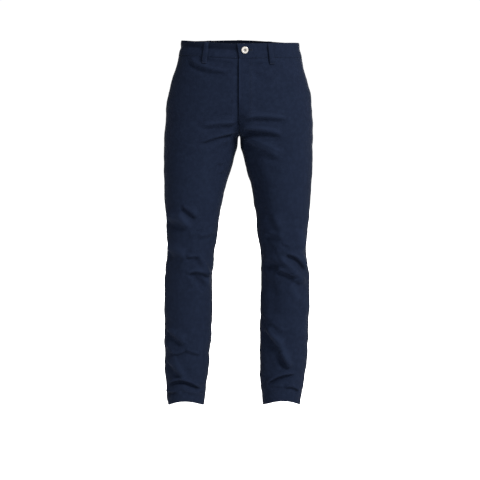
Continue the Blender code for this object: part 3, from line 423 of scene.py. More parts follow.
# ---- the worn surface
def section_point(leg, face, z, s=None, away=None):
    """Points on one face of a leg (or of half the hips) at height z, and their sections' lengths:
    a fraction s of the way along the cloth from the inner end to the side seam, or the length
    away from the side seam."""
    z = np.asarray(z, float)
    outer = read_table(WIDTHS, WIDTH_COLUMNS, "outer_" + leg, z)
    inner = read_table(WIDTHS, WIDTH_COLUMNS, "inner_" + leg, z)
    stance = read_table(STANCE, STANCE_COLUMNS, leg, z)
    middle = (depth_at("front", z) + depth_at("back", z)) / 2.0 + stance - SEAM_FORWARD
    extreme = depth_at(face, z) + stance
    crest = inner + (outer - inner) * read_table(FORM, FORM_COLUMNS, face + "_crest", z)
    power = SQUARENESS_HIP + (SQUARENESS_LEG - SQUARENESS_HIP) * smooth(
        *[-h for h in SQUARENESS_TURN], -z)
    exponent = (2.0 / power)[..., None]
    start = np.arcsin(rise_fraction(face, z) ** (power / 2.0))[..., None]
    reach = (crest - inner)[..., None] / np.maximum(np.cos(start) ** exponent, 1e-5)
    run = np.linspace(0.0, 1.0, ARC_SAMPLES)
    turn_in = start + (math.pi / 2.0 - start) * run
    x_in = crest[..., None] - reach * np.cos(turn_in).clip(0.0) ** exponent
    turn_out = math.pi / 2.0 * run[1:] + math.pi / 2.0
    x_out = crest[..., None] + (outer - crest)[..., None] * np.abs(np.cos(turn_out)) ** exponent
    turn = np.concatenate([turn_in, np.broadcast_to(turn_out, x_out.shape)], axis=-1)
    x = np.concatenate([x_in, x_out], axis=-1)
    rise = np.sin(turn).clip(0.0) ** exponent
    y = middle[..., None] + (extreme - middle)[..., None] * rise
    step = np.hypot(np.diff(x), np.diff(y))
    length = np.concatenate([np.zeros(x.shape[:-1] + (1,)), np.cumsum(step, axis=-1)], axis=-1)
    total = length[..., -1:]
    want = np.asarray(s)[..., None] * total if away is None else total - away[..., None]
    want = np.clip(want, 0.0, total)
    i = np.clip((length < want).sum(axis=-1, keepdims=True) - 1, 0, length.shape[-1] - 2)
    l0 = np.take_along_axis(length, i, -1)
    l1 = np.take_along_axis(length, i + 1, -1)
    t = (want - l0) / np.maximum(l1 - l0, 1e-12)
    px = (np.take_along_axis(x, i, -1) * (1 - t) + np.take_along_axis(x, i + 1, -1) * t)[..., 0]
    py = (np.take_along_axis(y, i, -1) * (1 - t) + np.take_along_axis(y, i + 1, -1) * t)[..., 0]
    return np.stack([SIDES[leg] * px, py, z], axis=-1), length[..., -1]


def waist_seam(leg, face, s):
    side = WAIST_SEAM["side"] - SIDES[leg] * WAIST_SEAM["roll"]
    middle = WAIST_SEAM[face]
    return middle + (side - middle) * smooth(0.0, 1.0, s)


def rise_heights(face, v):
    """Height on the centre seam a fraction v of the way along it, from waist to crotch point."""
    rise = RISES[face]
    straight = np.linspace(WAIST_SEAM[face], rise["start"], RISE_SAMPLES)
    turn = np.linspace(0.0, math.pi / 2.0, RISE_SAMPLES)[1:]
    drop = np.sin(turn) ** (2.0 / rise["power"])
    z = np.concatenate([straight, rise["start"] + (CROTCH_Z - rise["start"]) * drop])
    middle = (depth_at("front", z) + depth_at("back", z)) / 2.0 - SEAM_FORWARD
    y = middle + (depth_at(face, z) - middle) * rise_fraction(face, z)
    length = np.concatenate([[0.0], np.cumsum(np.hypot(np.diff(y), np.diff(z)))])
    return np.interp(np.asarray(v) * length[-1], length, z)


def row_height(leg, face, s, v):
    """Height of a point: v runs 0 to 1 from waist to crotch and 1 to 2 from crotch to hem."""
    s, v = np.broadcast_arrays(np.asarray(s, float), np.asarray(v, float))
    across = smooth(0.0, 1.0, s)
    hip = np.clip(v, 0.0, 1.0)
    down = np.clip(v - 1.0, 0.0, 1.0)
    inner = np.where(v < 1.0, rise_heights(face, hip), CROTCH_Z + (HEM_Z - CROTCH_Z) * down)
    top = waist_seam(leg, face, np.ones_like(s))
    outer = np.where(v < 1.0, top + (SIDE_CROTCH_Z - top) * hip,
                     SIDE_CROTCH_Z + (HEM_Z - SIDE_CROTCH_Z) * down)
    hem = np.sin(math.pi * np.clip(s, 0.0, 1.0)) ** 2 * smooth(HEM_CURVE_FROM, 1.0, down)
    return inner + (outer - inner) * across + HEM_RISE[face] * hem


def row_lengths():
    """Length of cloth along each row of each panel, taken at the height of the row's inner end."""
    v = np.linspace(0.0, 2.0, ROW_SAMPLES)
    nought = np.zeros_like(v)
    return v, {(leg, face): section_point(leg, face, row_height(leg, face, nought, v), nought)[1]
               for leg in SIDES for face in FACES}


ROW_V, ROW_LENGTHS = row_lengths()


def row_length(leg, face, v):
    return np.interp(v, ROW_V, ROW_LENGTHS[leg, face])


def panel_point(leg, face, s, v):
    away = (1.0 - s) * row_length(leg, face, v)
    z = row_height(leg, face, s, v)
    parts = [section_point(leg, face, z[i:i + CHUNK], away=away[i:i + CHUNK])[0]
             for i in range(0, len(z), CHUNK)]
    return np.concatenate(parts)


def base_point(leg, face, s, v):
    """The form before any fold. s may run past a seam, on to the next panel."""
    other = {"front": "back", "back": "front"}[face]
    point = panel_point(leg, face, np.clip(s, 0.0, 1.0), v)
    past_side = s > 1.0
    if past_side.any():
        point[past_side] = panel_point(leg, other, 2.0 - s[past_side], v[past_side])
    past_middle = s < 0.0
    if past_middle.any():
        over, vm = -s[past_middle], v[past_middle]
        mirror = panel_point(leg, face, over, vm)
        mirror[:, 0] *= -1.0
        wrap = panel_point(leg, other, over, vm)
        point[past_middle] = np.where((vm < 1.0)[:, None], mirror, wrap)
    return point


def base_frame(leg, face, s, v):
    """Points of the form with their outward normals, in the shape of s."""
    s, v = np.broadcast_arrays(np.asarray(s, float), np.asarray(v, float))
    shape = s.shape
    s, v = s.ravel(), v.ravel()
    point = base_point(leg, face, s, v)
    along = base_point(leg, face, s + NORMAL_STEP, v) - base_point(leg, face, s - NORMAL_STEP, v)
    down = base_point(leg, face, s, np.minimum(v + NORMAL_STEP, 2.0)) - base_point(
        leg, face, s, np.maximum(v - NORMAL_STEP, 0.0))
    normal = np.cross(down, along) * SIDES[leg] * FACES[face]
    normal /= np.maximum(np.linalg.norm(normal, axis=-1, keepdims=True), 1e-12)
    return point.reshape(shape + (3,)), normal.reshape(shape + (3,))


def surface_spot(leg, face, x, z):
    """Point of the form that lies above (x, z) as seen from the front or the back, and which way
    the form faces there."""
    s = np.linspace(0.0, 1.0, ARC_SAMPLES)
    line = section_point(leg, face, np.full(s.shape, z), s)[0]
    xs = np.abs(line[:, 0])
    y = np.interp(x, xs, line[:, 1])
    ahead, behind = (np.interp(x + step, xs, line[:, 1]) for step in (SLOPE_STEP, -SLOPE_STEP))
    slope = (ahead - behind) / (2.0 * SLOPE_STEP)
    out = np.array([SIDES[leg] * slope, -1.0, 0.0]) * FACES[face]
    return np.array([SIDES[leg] * x, y, z]), out / np.linalg.norm(out)


def fold_line(row):
    """The fold's line on the surface, bent smoothly through its start, middle and end, and the way
    along the surface to its upper side at each stretch."""
    t = np.linspace(0.0, 1.0, FOLD_STEPS + 1)
    ends = [np.array([row["x%d" % k], row["z%d" % k]]) for k in range(3)]
    bend = 2.0 * ends[1] - (ends[0] + ends[2]) / 2.0
    flat = [(1 - u) ** 2 * ends[0] + 2 * u * (1 - u) * bend + u * u * ends[2] for u in t]
    spots, outs = zip(*[surface_spot(row["leg"], row["face"], x, z) for x, z in flat])
    line, outs = np.array(spots), np.array(outs)
    above = np.cross(np.diff(line, axis=0), outs[:-1] + outs[1:])
    return {"line": line, "above": above * np.sign(above[:, 2].sum())}


def fold_rows():
    rows = [dict(zip(FOLD_COLUMNS, np.array(row) / 1000.0), leg=leg, face=face)
            for (leg, face), group in FOLDS.items() for row in group]
    return [dict(row, **fold_line(row)) for row in rows]


FOLD_ROWS = fold_rows()


def line_distance(point, line, above):
    """Distance of each point to a line, + above it and - below, and how far along it that is."""
    run = np.linalg.norm(np.diff(line, axis=0), axis=1)
    start = np.concatenate([[0.0], np.cumsum(run)])
    best = np.full(len(point), np.inf)
    offset = np.zeros(len(point))
    along = np.zeros(len(point))
    for k, corner in enumerate(line[:-1]):
        direction = (line[k + 1] - corner) / run[k]
        t = np.clip((point - corner) @ direction, 0.0, run[k])
        away = point - (corner + t[:, None] * direction)
        distance = np.linalg.norm(away, axis=1)
        closer = distance < best
        best = np.where(closer, distance, best)
        offset = np.where(closer, np.sign(away @ above[k]) * distance, offset)
        along = np.where(closer, (start[k] + t) / start[-1], along)
    return offset, along


def folds(leg, point):
    """How far the folds move each point out (+) or in (-), and how much painted shade their creases
    give it, from 0 to 1. A ridge is a bell across its line, a tuck the slope of a bell with its peak
    scaled to 1. Both narrow towards their ends."""
    height = np.zeros(point.shape[:-1])
    painted_shade = np.zeros(point.shape[:-1])
    for row in FOLD_ROWS:
        reach = FOLD_REACH * row["width"]
        low, high = row["line"].min(axis=0) - reach, row["line"].max(axis=0) + reach
        near = ((point > low) & (point < high)).all(axis=-1)
        if row["leg"] != leg or not near.any():
            continue
        offset, along = line_distance(point[near], row["line"], row["above"])
        u = offset / (row["width"] * (1.0 - FOLD_TAPER + FOLD_TAPER * np.sin(math.pi * along)))
        fade = smooth(0.0, FOLD_FADE[0], along) * smooth(0.0, FOLD_FADE[1], 1.0 - along)
        height[near] += fade * np.exp(-0.5 * u * u) * (row["lift"] + row["tuck"] * u * math.exp(0.5))
        steep = smooth(CREASE_SHADE["from"], CREASE_SHADE["to"], row["tuck"] / row["width"])
        painted_shade[near] += fade * steep * bell(u + CREASE_SHADE["offset"], CREASE_SHADE["spread"])
    return FOLD_GAIN * height, np.minimum(painted_shade, 1.0)


def fold_height(leg, point):
    return folds(leg, point)[0]


def wave_rows():
    """Directions, lengths, heights and phases of the soft waves, the same ones each time."""
    random = np.random.default_rng(SEED)
    rows = []
    for length, height in WAVES:
        for _ in range(WAVES_PER_LENGTH):
            turn = random.uniform(0.0, 2.0 * math.pi)
            tilt = random.uniform(-1.0, 1.0) * WAVE_TILT
            direction = np.array([tilt * math.cos(turn), tilt * math.sin(turn), 1.0])
            scale = random.uniform(0.8, 1.25) * length
            phase = random.uniform(0.0, 2.0 * math.pi)
            rows.append((direction * 2.0 * math.pi / scale, phase, height / math.sqrt(WAVES_PER_LENGTH)))
    return rows


WAVE_ROWS = wave_rows()


def wave_height(point):
    height = sum(h * np.sin(point @ k + phase) for k, phase, h in WAVE_ROWS)
    return height * read_table(CALM, CALM_COLUMNS, "share", point[..., 2])


def dart_height(point):
    """Groove of the dart that shapes each back panel under the waistband."""
    across = (np.abs(point[..., 0]) - DART["from_middle"]) / DART["width"]
    fade = smooth(DART["foot"], DART["foot"] + DART["fade"], point[..., 2])
    fade = fade * smooth(0.0, DART["caught"], DART["top"] - point[..., 2])
    return -DART["depth"] * np.exp(-0.5 * across ** 2) * fade * (point[..., 1] > 0.0)


def fly_level(z):
    return smooth(FLY_BOTTOM - FLY_FADE[0], FLY_BOTTOM - FLY_FADE[1], z)


def band_step(leg, distance):
    """Raise of the waistband's lapping end and sink of the end beneath it."""
    lap = BAND_UNDERLAP if leg == "left" else BAND_LAP
    return BAND_STEP[leg] * (1.0 - smooth(lap + BAND_BLEND[0], lap + BAND_BLEND[1], distance))


def fly_height(leg, face, point):
    """The left front is raised over the fly, and the right front's edge is sunk beneath it. Close
    under the waistband both follow its own step."""
    if face == "back":
        return np.zeros(point.shape[:-1])
    x = np.abs(point[..., 0])
    if leg == "left":
        near, far = FLY_SHOULDERS["raised"]
        height = FLY_RAISE * (1.0 - smooth(FLY_WIDTH + near, FLY_WIDTH + far, x))
    else:
        near, far = FLY_SHOULDERS["sunk"]
        height = -FLY_SINK * (1.0 - smooth(FLY_UNDERLAP + near, FLY_UNDERLAP + far, x))
    height = height * fly_level(point[..., 2])
    near_band = bell(WAIST_SEAM["front"] - point[..., 2], TOP_FOLLOWS)
    return height + (band_step(leg, x) - height) * near_band


# ---- sewn details of the cloth
SEAM_ALLOWANCE = 0.012     # pressed-open allowance that shows as a low step beside a seam
SEAM_STEP = 0.00022
SEAM_SPREAD = 0.0011
STITCH_DIP = 0.00045       # how far a row of stitches draws the cloth in
STITCH_SPREAD = 0.0014
PUCKER_PITCH = 0.0075
PUCKER_SPREAD = 0.0070
HEM_STEP = 0.00035         # the turned-up hem stands out this far below its stitching
HEM_STITCH = 0.031         # height of the hem's stitching above its edge
FLY_STITCH = (0.0335, 0.0285)    # the two rows of the fly's stitching, from the centre front
FLY_STITCH_FOOT = -0.172   # where they begin to curve in to the centre seam
MOUTH_STITCH = (0.0016, 0.0075)  # the two rows beside a pocket mouth
PUCKER_WAVES = ((1.0, 0.0), (1.71, 1.3), (0.63, 2.1))   # pitch share and phase of each


def mouth_width(z):
    """Distance along the cloth from the side seam to the edge of the slanted pocket mouth."""
    top = WAIST_SEAM["side"]
    return np.clip(MOUTH_WIDTH * (z - MOUTH_BOTTOM) / (top - MOUTH_BOTTOM), 0.0, None)


def mouth_strip(leg, v):
    """Width of the pocket mouth on each row of a front."""
    return mouth_width(row_height(leg, "front", np.ones_like(v), v))


def pucker(run):
    """Uneven ripple along a seam, from -1 to 1."""
    total = sum(np.sin(2.0 * math.pi * run * share / PUCKER_PITCH + phase)
                for share, phase in PUCKER_WAVES)
    return total / len(PUCKER_WAVES)


def seam_height(distance, run):
    """Groove, allowance and puckers beside a seam; run is the length along it."""
    step = SEAM_STEP * smooth(SEAM_SPREAD, 2.5 * SEAM_SPREAD, distance)
    step = step * (1.0 - smooth(SEAM_ALLOWANCE - 0.002, SEAM_ALLOWANCE + 0.002, distance))
    ripple = sizes().pucker * pucker(run) * np.exp(-distance / PUCKER_SPREAD)
    return step + ripple - sizes().seam_depth * bell(distance, SEAM_SPREAD)


def fly_row_x(offset, z):
    """Distance from the centre front of a row of the fly's stitching, which curves in at its foot."""
    drop = np.clip((FLY_STITCH_FOOT - z) / (FLY_STITCH_FOOT - FLY_BOTTOM), 0.0, 1.0)
    return offset * np.sqrt(np.clip(1.0 - drop ** 2, 0.0, 1.0))


def sewn_height(leg, face, s, v, point):
    """Seams, hem, fly and pocket mouth as they show on the outside of a panel."""
    length = row_length(leg, face, v)
    z = point[..., 2]
    to_side, to_inner = (1.0 - s) * length, s * length
    edge = 1.0
    if face == "front":
        strip = mouth_strip(leg, v)
        edge = 1.0 - smooth(0.0005, 0.003, strip)
        to_mouth = to_side - strip
        below = smooth(MOUTH_BOTTOM - 0.004, MOUTH_BOTTOM + 0.004, z)
        rows = sum(bell(to_mouth - d, STITCH_SPREAD) for d in MOUTH_STITCH)
        mouth = -STITCH_DIP * rows + sizes().pucker * pucker(z) * np.exp(-to_mouth / PUCKER_SPREAD)
        height = mouth * below * (to_mouth > -0.001)
    else:
        height = np.zeros_like(z)
    height = height + seam_height(np.abs(to_side), z) * edge
    lapped = smooth(FLY_BOTTOM - 0.004, FLY_BOTTOM + 0.004, z) if face == "front" else 0.0
    height = height + seam_height(to_inner, z + v) * (1.0 - lapped)
    if face == "front" and leg == "left":
        on = smooth(FLY_BOTTOM - 0.006, FLY_BOTTOM, z)
        for offset in FLY_STITCH:
            height = height - STITCH_DIP * bell(np.abs(point[..., 0]) - fly_row_x(offset, z),
                                                STITCH_SPREAD) * on
    above = height_above_hem(leg, face, s, v)
    rope = pucker((length * s + 0.7 * above) * 0.9) * np.exp(-((above - 0.012) / 0.016) ** 2)
    hem = HEM_STEP * (1.0 - smooth(HEM_STITCH - 0.002, HEM_STITCH + 0.002, above))
    height = height + hem + 1.5 * sizes().pucker * rope - STITCH_DIP * bell(above - HEM_STITCH,
                                                                            STITCH_SPREAD)
    return height


def height_above_hem(leg, face, s, v):
    return row_height(leg, face, s, v) - row_height(leg, face, s, np.full_like(v, 2.0))


def cloth_frame(leg, face, s, v):
    """Points of the finished outer surface, with the normals along which walls are built."""
    s, v = np.broadcast_arrays(np.asarray(s, float), np.asarray(v, float))
    point, normal = base_frame(leg, face, s, v)
    height = fold_height(leg, point) + wave_height(point) + fly_height(leg, face, point)
    height = height + sewn_height(leg, face, s, v, point) + EASE["height"] * smooth(
        -EASE["from"], -EASE["to"], -point[..., 2])
    if face == "back":
        height = height + dart_height(point)
    return point + normal * height[..., None], normal


# ---- meshes
def mesh_object(name, points, faces, materials, uv=None, marks=None):
    """faces is a list of equal-sided arrays; marks gives the material index of each array."""
    mesh = bpy.data.meshes.new(name)
    counts = [len(f) for f in faces]
    corners = np.concatenate([np.asarray(f, np.int32).ravel() for f in faces])
    sides = np.concatenate([np.full(len(f), np.asarray(f).shape[1], np.int32) for f in faces])
    starts = np.concatenate([[0], np.cumsum(sides)[:-1]]).astype(np.int32)
    mesh.vertices.add(len(points))
    mesh.vertices.foreach_set("co", np.asarray(points, np.float32).ravel())
    mesh.loops.add(len(corners))
    mesh.loops.foreach_set("vertex_index", corners)
    mesh.polygons.add(sum(counts))
    mesh.polygons.foreach_set("loop_start", starts)
    if marks is not None:
        index = np.concatenate([np.full(n, m, np.int32) for n, m in zip(counts, marks)])
        mesh.polygons.foreach_set("material_index", index)
    mesh.update(calc_edges=True)
    if uv is not None:
        layer = mesh.uv_layers.new(name="cloth")
        layer.data.foreach_set("uv", np.asarray(uv, np.float32)[corners].ravel())
    mesh.validate()
    mesh.shade_smooth()
    made = bpy.data.objects.new(name, mesh)
    for finish in materials:
        made.data.materials.append(finish)
    bpy.context.collection.objects.link(made)
    return made


def cell_rim(keep):
    """Edges around the kept cells of a grid, each with the cloth on its left."""
    pad = np.pad(keep, 1)
    i, j = np.nonzero(keep)
    at = lambda a, b: a * (keep.shape[1] + 1) + b
    rims = []
    for di, dj, a, b in ((0, -1, (0, 0), (1, 0)), (1, 0, (1, 0), (1, 1)),
                         (0, 1, (1, 1), (0, 1)), (-1, 0, (0, 1), (0, 0))):
        free = ~pad[i + 1 + di, j + 1 + dj]
        rims.append(np.stack([at(i[free] + a[0], j[free] + a[1]), at(i[free] + b[0], j[free] + b[1])],
                             axis=1))
    return np.concatenate(rims)


def set_share(piece, name, values):
    """A value from 0 to 1 at each point, for the cloth's colour."""
    layer = piece.data.attributes.new(name, "FLOAT", "POINT")
    layer.data.foreach_set("value", values.astype(np.float32))


def cloth_shell(name, outer, inner, finish, uv, keep=None):
    """Closed wall between two grids of points; keep marks the cells that are cloth."""
    rows, columns = outer.shape[:2]
    if keep is None:
        keep = np.ones((rows - 1, columns - 1), bool)
    i, j = np.nonzero(keep)
    corner = i * columns + j
    quads = np.stack([corner, corner + columns, corner + columns + 1, corner + 1], axis=1)
    count = rows * columns
    rim = cell_rim(keep)
    walls = np.stack([rim[:, 1], rim[:, 0], rim[:, 0] + count, rim[:, 1] + count], axis=1)
    points = np.concatenate([outer.reshape(-1, 3), inner.reshape(-1, 3)])
    faces = np.concatenate([quads, quads[:, ::-1] + count, walls])
    p = points[quads]
    out = np.cross(p[:, 2] - p[:, 0], p[:, 3] - p[:, 1])
    if (out * (points[quads[:, 0]] - points[quads[:, 0] + count])).sum() < 0.0:
        faces = faces[:, ::-1]
    used = np.unique(faces)
    index = np.zeros(len(points), np.int64)
    index[used] = np.arange(len(used))
    uv = np.concatenate([uv.reshape(-1, 2), uv.reshape(-1, 2)])[used]
    piece = mesh_object(name, points[used], [index[faces]], [finish], uv)
    # painted shade on the reverse side, through its inside share
    set_share(piece, "inside", (used >= count).astype(float))
    return piece


def both_sides(point, normal, drop, wall):
    """Outer and inner points of a wall that is thinner by the drop on both sides."""
    return point - normal * drop[..., None], point - normal * (wall - drop)[..., None]


def edge_drop(distance, radius):
    """How far a rounded edge falls away at a distance from where the cloth ends."""
    d = np.clip(np.asarray(distance, float) / radius, 0.0, 1.0)
    return radius * (1.0 - np.sqrt(1.0 - (1.0 - d) ** 2))


def edge_columns(values, first, last, radius, total):
    """Values from 0 to 1 with extra ones close to the rounded ends of a run of that total length."""
    extra = [k * radius / total for k in EDGE_STEPS]
    clear = extra[-1] * EDGE_CLEAR
    inside = [v for v in values if clear < v < 1.0 - clear]
    head = extra if first else [0.0]
    tail = [1.0 - k for k in extra[::-1]] if last else [1.0]
    return np.array(head + inside + tail)


def rounded_run(count, radius, total):
    """Values from 0 to 1 along a run of that length whose two ends are rounded."""
    return edge_columns(np.linspace(0.0, 1.0, count), True, True, radius, total)


def split_runs(stops, cell, least):
    """Values through all the stops, at most a cell apart, with at least so many cells in a run."""
    values = [stops[0]]
    for a, b in zip(stops, stops[1:]):
        values += list(np.linspace(a, b, max(least, math.ceil((b - a) / cell)) + 1)[1:])
    return np.array(values)


def ring_quads(rings, sides):
    """Faces between rings of points that follow one another."""
    n = np.arange(sides)
    m = (n + 1) % sides
    return [np.stack([k * sides + n, k * sides + m, (k + 1) * sides + m, (k + 1) * sides + n], axis=1)
            for k in range(rings - 1)]


def flat_map(points):
    """Lengths down and across a grid of points, for the weave."""
    down = np.linalg.norm(np.diff(points, axis=0), axis=2).mean(axis=1)
    across = np.linalg.norm(np.diff(points, axis=1), axis=2)
    u = np.concatenate([np.zeros((len(points), 1)), np.cumsum(across, axis=1)], axis=1)
    v = np.concatenate([[0.0], np.cumsum(down)])
    return np.stack([u, np.broadcast_to(-v[:, None], u.shape)], axis=-1)


def place(piece, slot, *nodes):
    """Fix a piece to the trousers' one body and hide the solids it stands for. Its slot is not used."""
    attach(piece, "root")
    if nodes:
        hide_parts(*nodes)
    return piece


# ---- materials
def shader_nodes(name):
    made = bpy.data.materials.get(name)
    if made:
        bpy.data.materials.remove(made)
    made = bpy.data.materials.new(name)
    made.use_nodes = True
    return made, made.node_tree.nodes, made.node_tree.links, made.node_tree.nodes["Principled BSDF"]


def set_sockets(shader, **values):
    for name, value in values.items():
        shader.inputs[name.replace("_", " ")].default_value = value


def noise(nodes, links, vector, scale, detail=3.0, roughness=0.55):
    made = nodes.new("ShaderNodeTexNoise")
    made.inputs["Scale"].default_value = scale
    made.inputs["Detail"].default_value = detail
    made.inputs["Roughness"].default_value = roughness
    links.new(vector, made.inputs["Vector"])
    return made.outputs["Fac"]


def ramp(nodes, links, value, low, high):
    made = nodes.new("ShaderNodeMapRange")
    made.inputs["From Min"].default_value = low
    made.inputs["From Max"].default_value = high
    links.new(value, made.inputs["Value"])
    return made.outputs["Result"]


def mixed(nodes, links, share, first, second):
    made = nodes.new("ShaderNodeMix")
    made.data_type = "RGBA"
    for socket, value in ((made.inputs[6], first), (made.inputs[7], second)):
        if hasattr(value, "is_linked"):
            links.new(value, socket)
        else:
            socket.default_value = (*value, 1.0)
    links.new(share, made.inputs[0])
    return made.outputs[2]


def bump(nodes, links, height, strength, distance, normal=None):
    made = nodes.new("ShaderNodeBump")
    made.inputs["Strength"].default_value = strength
    made.inputs["Distance"].default_value = distance
    links.new(height, made.inputs["Height"])
    if normal is not None:
        links.new(normal, made.inputs["Normal"])
    return made.outputs["Normal"]


PAINTED_SHADE_TONE = 0.55         # painted shade: how dark the cloth is painted deep in creases
INSIDE_SHADE_TONE = 0.45         # painted shade: how dark the cloth's reverse side is painted
TWILL_TILT = 63.0          # how steep its ribs are, in degrees
WORN_SHARE = 0.25          # share of the worn colour in the cloth's broad pale clouds


def cloth_material(name, colour, worn, rib, sheen=0.035, tilt=TWILL_TILT):
    """Twill: steep ribs, uneven yarn, soft mottling, worn colour with painted highlight, painted shade.
    """
    made, nodes, links, shader = shader_nodes(name)
    place_node = nodes.new("ShaderNodeTexCoord")
    turn = nodes.new("ShaderNodeMapping")
    turn.inputs["Rotation"].default_value[2] = math.radians(tilt)
    links.new(place_node.outputs["UV"], turn.inputs["Vector"])
    ribs = nodes.new("ShaderNodeTexWave")
    ribs.inputs["Scale"].default_value = 2.0 * math.pi / 20.0 / rib
    ribs.inputs["Distortion"].default_value = 0.8
    ribs.inputs["Detail"].default_value = 1.0
    links.new(turn.outputs["Vector"], ribs.inputs["Vector"])
    yarn = noise(nodes, links, place_node.outputs["UV"], 1.0 / rib, 2.0)
    slub_map = nodes.new("ShaderNodeMapping")
    slub_map.inputs["Scale"].default_value = (1.0, 0.12, 1.0)
    links.new(place_node.outputs["UV"], slub_map.inputs["Vector"])
    slub = noise(nodes, links, slub_map.outputs["Vector"], 420.0, 2.0)
    soft = noise(nodes, links, place_node.outputs["Object"], 14.0, 4.0)
    fine = noise(nodes, links, place_node.outputs["Object"], 95.0, 3.0)
    pale = mixed(nodes, links, ramp(nodes, links, soft, 0.30, 0.78), colour,
                 [(1.0 - WORN_SHARE) * c + WORN_SHARE * w for c, w in zip(colour, worn)])
    pale = mixed(nodes, links, ramp(nodes, links, fine, 0.42, 0.95), pale, worn)
    pale = mixed(nodes, links, ramp(nodes, links, slub, 0.55, 1.10), pale, worn)
    # worn colour with painted highlight, then painted shade in creases and on the band, then painted
    # shade on the reverse side
    for share_name, tone in (("wear_and_highlight", worn), ("painted_shade", [PAINTED_SHADE_TONE * c for c in colour]),
                             ("inside", [INSIDE_SHADE_TONE * c for c in colour])):
        share = nodes.new("ShaderNodeAttribute")
        share.attribute_name = share_name
        pale = mixed(nodes, links, share.outputs["Fac"], pale, tone)
    links.new(pale, shader.inputs["Base Color"])
    relief = bump(nodes, links, fine, 0.25, 0.0006)
    relief = bump(nodes, links, yarn, 0.22, rib * 0.25, relief)
    relief = bump(nodes, links, ribs.outputs["Fac"], 0.35, rib * 0.30, relief)
    links.new(relief, shader.inputs["Normal"])
    set_sockets(shader, Roughness=0.88, Specular_IOR_Level=0.02, Sheen_Weight=sheen,
                Sheen_Roughness=0.14, Sheen_Tint=(0.55, 0.62, 0.80, 1.0))
    return made


def clouded_material(name, colour, other, clouds, span=None, scratches=None, rough=None, **values):
    """Two colours in soft clouds over fine scratches. clouds is the scale and detail of their noise
    and span the part of it that turns the colour. scratches adds a strength and a depth. rough is
    the roughness in the clear and in the clouded parts."""
    made, nodes, links, shader = shader_nodes(name)
    spot = nodes.new("ShaderNodeTexCoord").outputs["Object"]
    cloud = noise(nodes, links, spot, *clouds)
    share = ramp(nodes, links, cloud, *span) if span else cloud
    links.new(mixed(nodes, links, share, colour, other), shader.inputs["Base Color"])
    if scratches:
        scale, detail, strength, depth = scratches
        scratch = noise(nodes, links, spot, scale, detail)
        links.new(bump(nodes, links, scratch, strength, depth), shader.inputs["Normal"])
    if rough:
        turn = nodes.new("ShaderNodeMapRange")
        turn.inputs["To Min"].default_value, turn.inputs["To Max"].default_value = rough
        links.new(cloud, turn.inputs["Value"])
        links.new(turn.outputs["Result"], shader.inputs["Roughness"])
    set_sockets(shader, **values)
    return made


def thread_material():
    colour = tuple(colours().thread)
    return bpy.data.materials.get("navy thread") or clouded_material(
        "navy thread", colour, [min(1.0, c * 1.8) for c in colour], (900.0, 2.0),
        scratches=(900.0, 2.0, 0.4, 0.0002), Roughness=0.7, Specular_IOR_Level=0.08)


def brass_material():
    colour = tuple(colours().brass)
    return clouded_material("satin brass", colour, [c * 0.55 for c in colour], (260.0, 4.0),
                            (0.40, 0.75), (1800.0, 2.0, 0.15, 0.0001), (0.26, 0.50), Metallic=1.0)


def pearl_material(name, colour, rough, depth):
    """Polished shell-like resin with faint clouds and fine scratches."""
    return clouded_material(name, colour, [c * depth for c in colour], (190.0, 3.0), (0.35, 0.70),
                            (2400.0, 2.0, 0.06, 0.0001), Roughness=rough, Coat_Weight=0.6,
                            Coat_Roughness=0.08)


def floor_material():
    colour = tuple(colours().floor)
    return clouded_material("pale floor", colour, [c * 0.985 for c in colour], (1.5, 2.0),
                            Roughness=0.9, Specular_IOR_Level=0.1)


def twill():
    return bpy.data.materials.get("navy twill") or cloth_material(
        "navy twill", tuple(colours().cloth), tuple(colours().worn), sizes().twill)


def mark(piece, name, share):
    """How much worn colour with painted highlight, and painted shade, each point of its outer side gets,
    from 0 to 1.
    """
    set_share(piece, name, np.concatenate([share.ravel(), 0.0 * share.ravel()]))


# ---- panels
HIP_ROWS = 1.25            # rows lie this much closer together on the hips than on the legs
PANEL_WIDTH = 0.245        # width of a row that sets the number of columns
ROUNDED_WIDTH = 0.22       # width of a row that sets the columns of its rounded edges
MOUTH_OPEN = (0.001, 0.004)      # widths of a pocket mouth between which its edge comes free
FLY_LEAN = 0.012           # width of the cloth that leans past the middle along the fly
CREST_WEAR_AND_HIGHLIGHT = 0.8           # share of the worn colour on the crests, for wear and painted highlight, and the heights it grows over
CREST_HEIGHTS = (0.0010, 0.0060)
HEM_WEAR = 0.7             # share of it along the hems, and the distances it fades over
HEM_RUBBED = (0.0005, 0.004)
MOUTH_HIGHLIGHT = 0.005       # width of the painted highlight along a mouth's edge
FLY_HIGHLIGHT = 0.006         # and along the fly's
FACING_COLUMNS = 13        # columns of the facing across the open mouth
FACING_EDGE = 0.0006       # the first of them, past the panel's edge
FACING_TURN = 0.70         # share of the mouth from which the facing rises to the side seam
FACING_OPEN = (0.0015, 0.009)    # widths of the mouth between which it does so
FACING_LEAST = 0.0003      # the narrowest mouth that has a facing


def panel_parameters(leg, face):
    """Rows and columns of a panel's fine grid, closest along its turned edges."""
    cell, wall = sizes().cell, sizes().wall
    hip_run, leg_run = WAIST_SEAM[face] - CROTCH_Z, CROTCH_Z - HEM_Z
    hips = np.linspace(0.0, 1.0, math.ceil(HIP_ROWS * hip_run / cell) + 1)
    legs = np.linspace(0.0, 1.0, math.ceil(leg_run / cell) + 1)
    legs = edge_columns(legs, False, True, sizes().hem_wall / 2.0, leg_run)
    v = np.concatenate([hips[:-1], 1.0 + legs])
    length = row_length(leg, face, v)
    turned = face == "front"
    j = np.linspace(0.0, 1.0, math.ceil(PANEL_WIDTH / cell) + 1)
    j = edge_columns(j, turned, turned, wall / 2.0, ROUNDED_WIDTH)
    end = 1.0 - mouth_strip(leg, v) / length if turned else np.ones_like(v)
    s = end[:, None] * j[None, :]
    return s, np.broadcast_to(v[:, None], s.shape).copy()


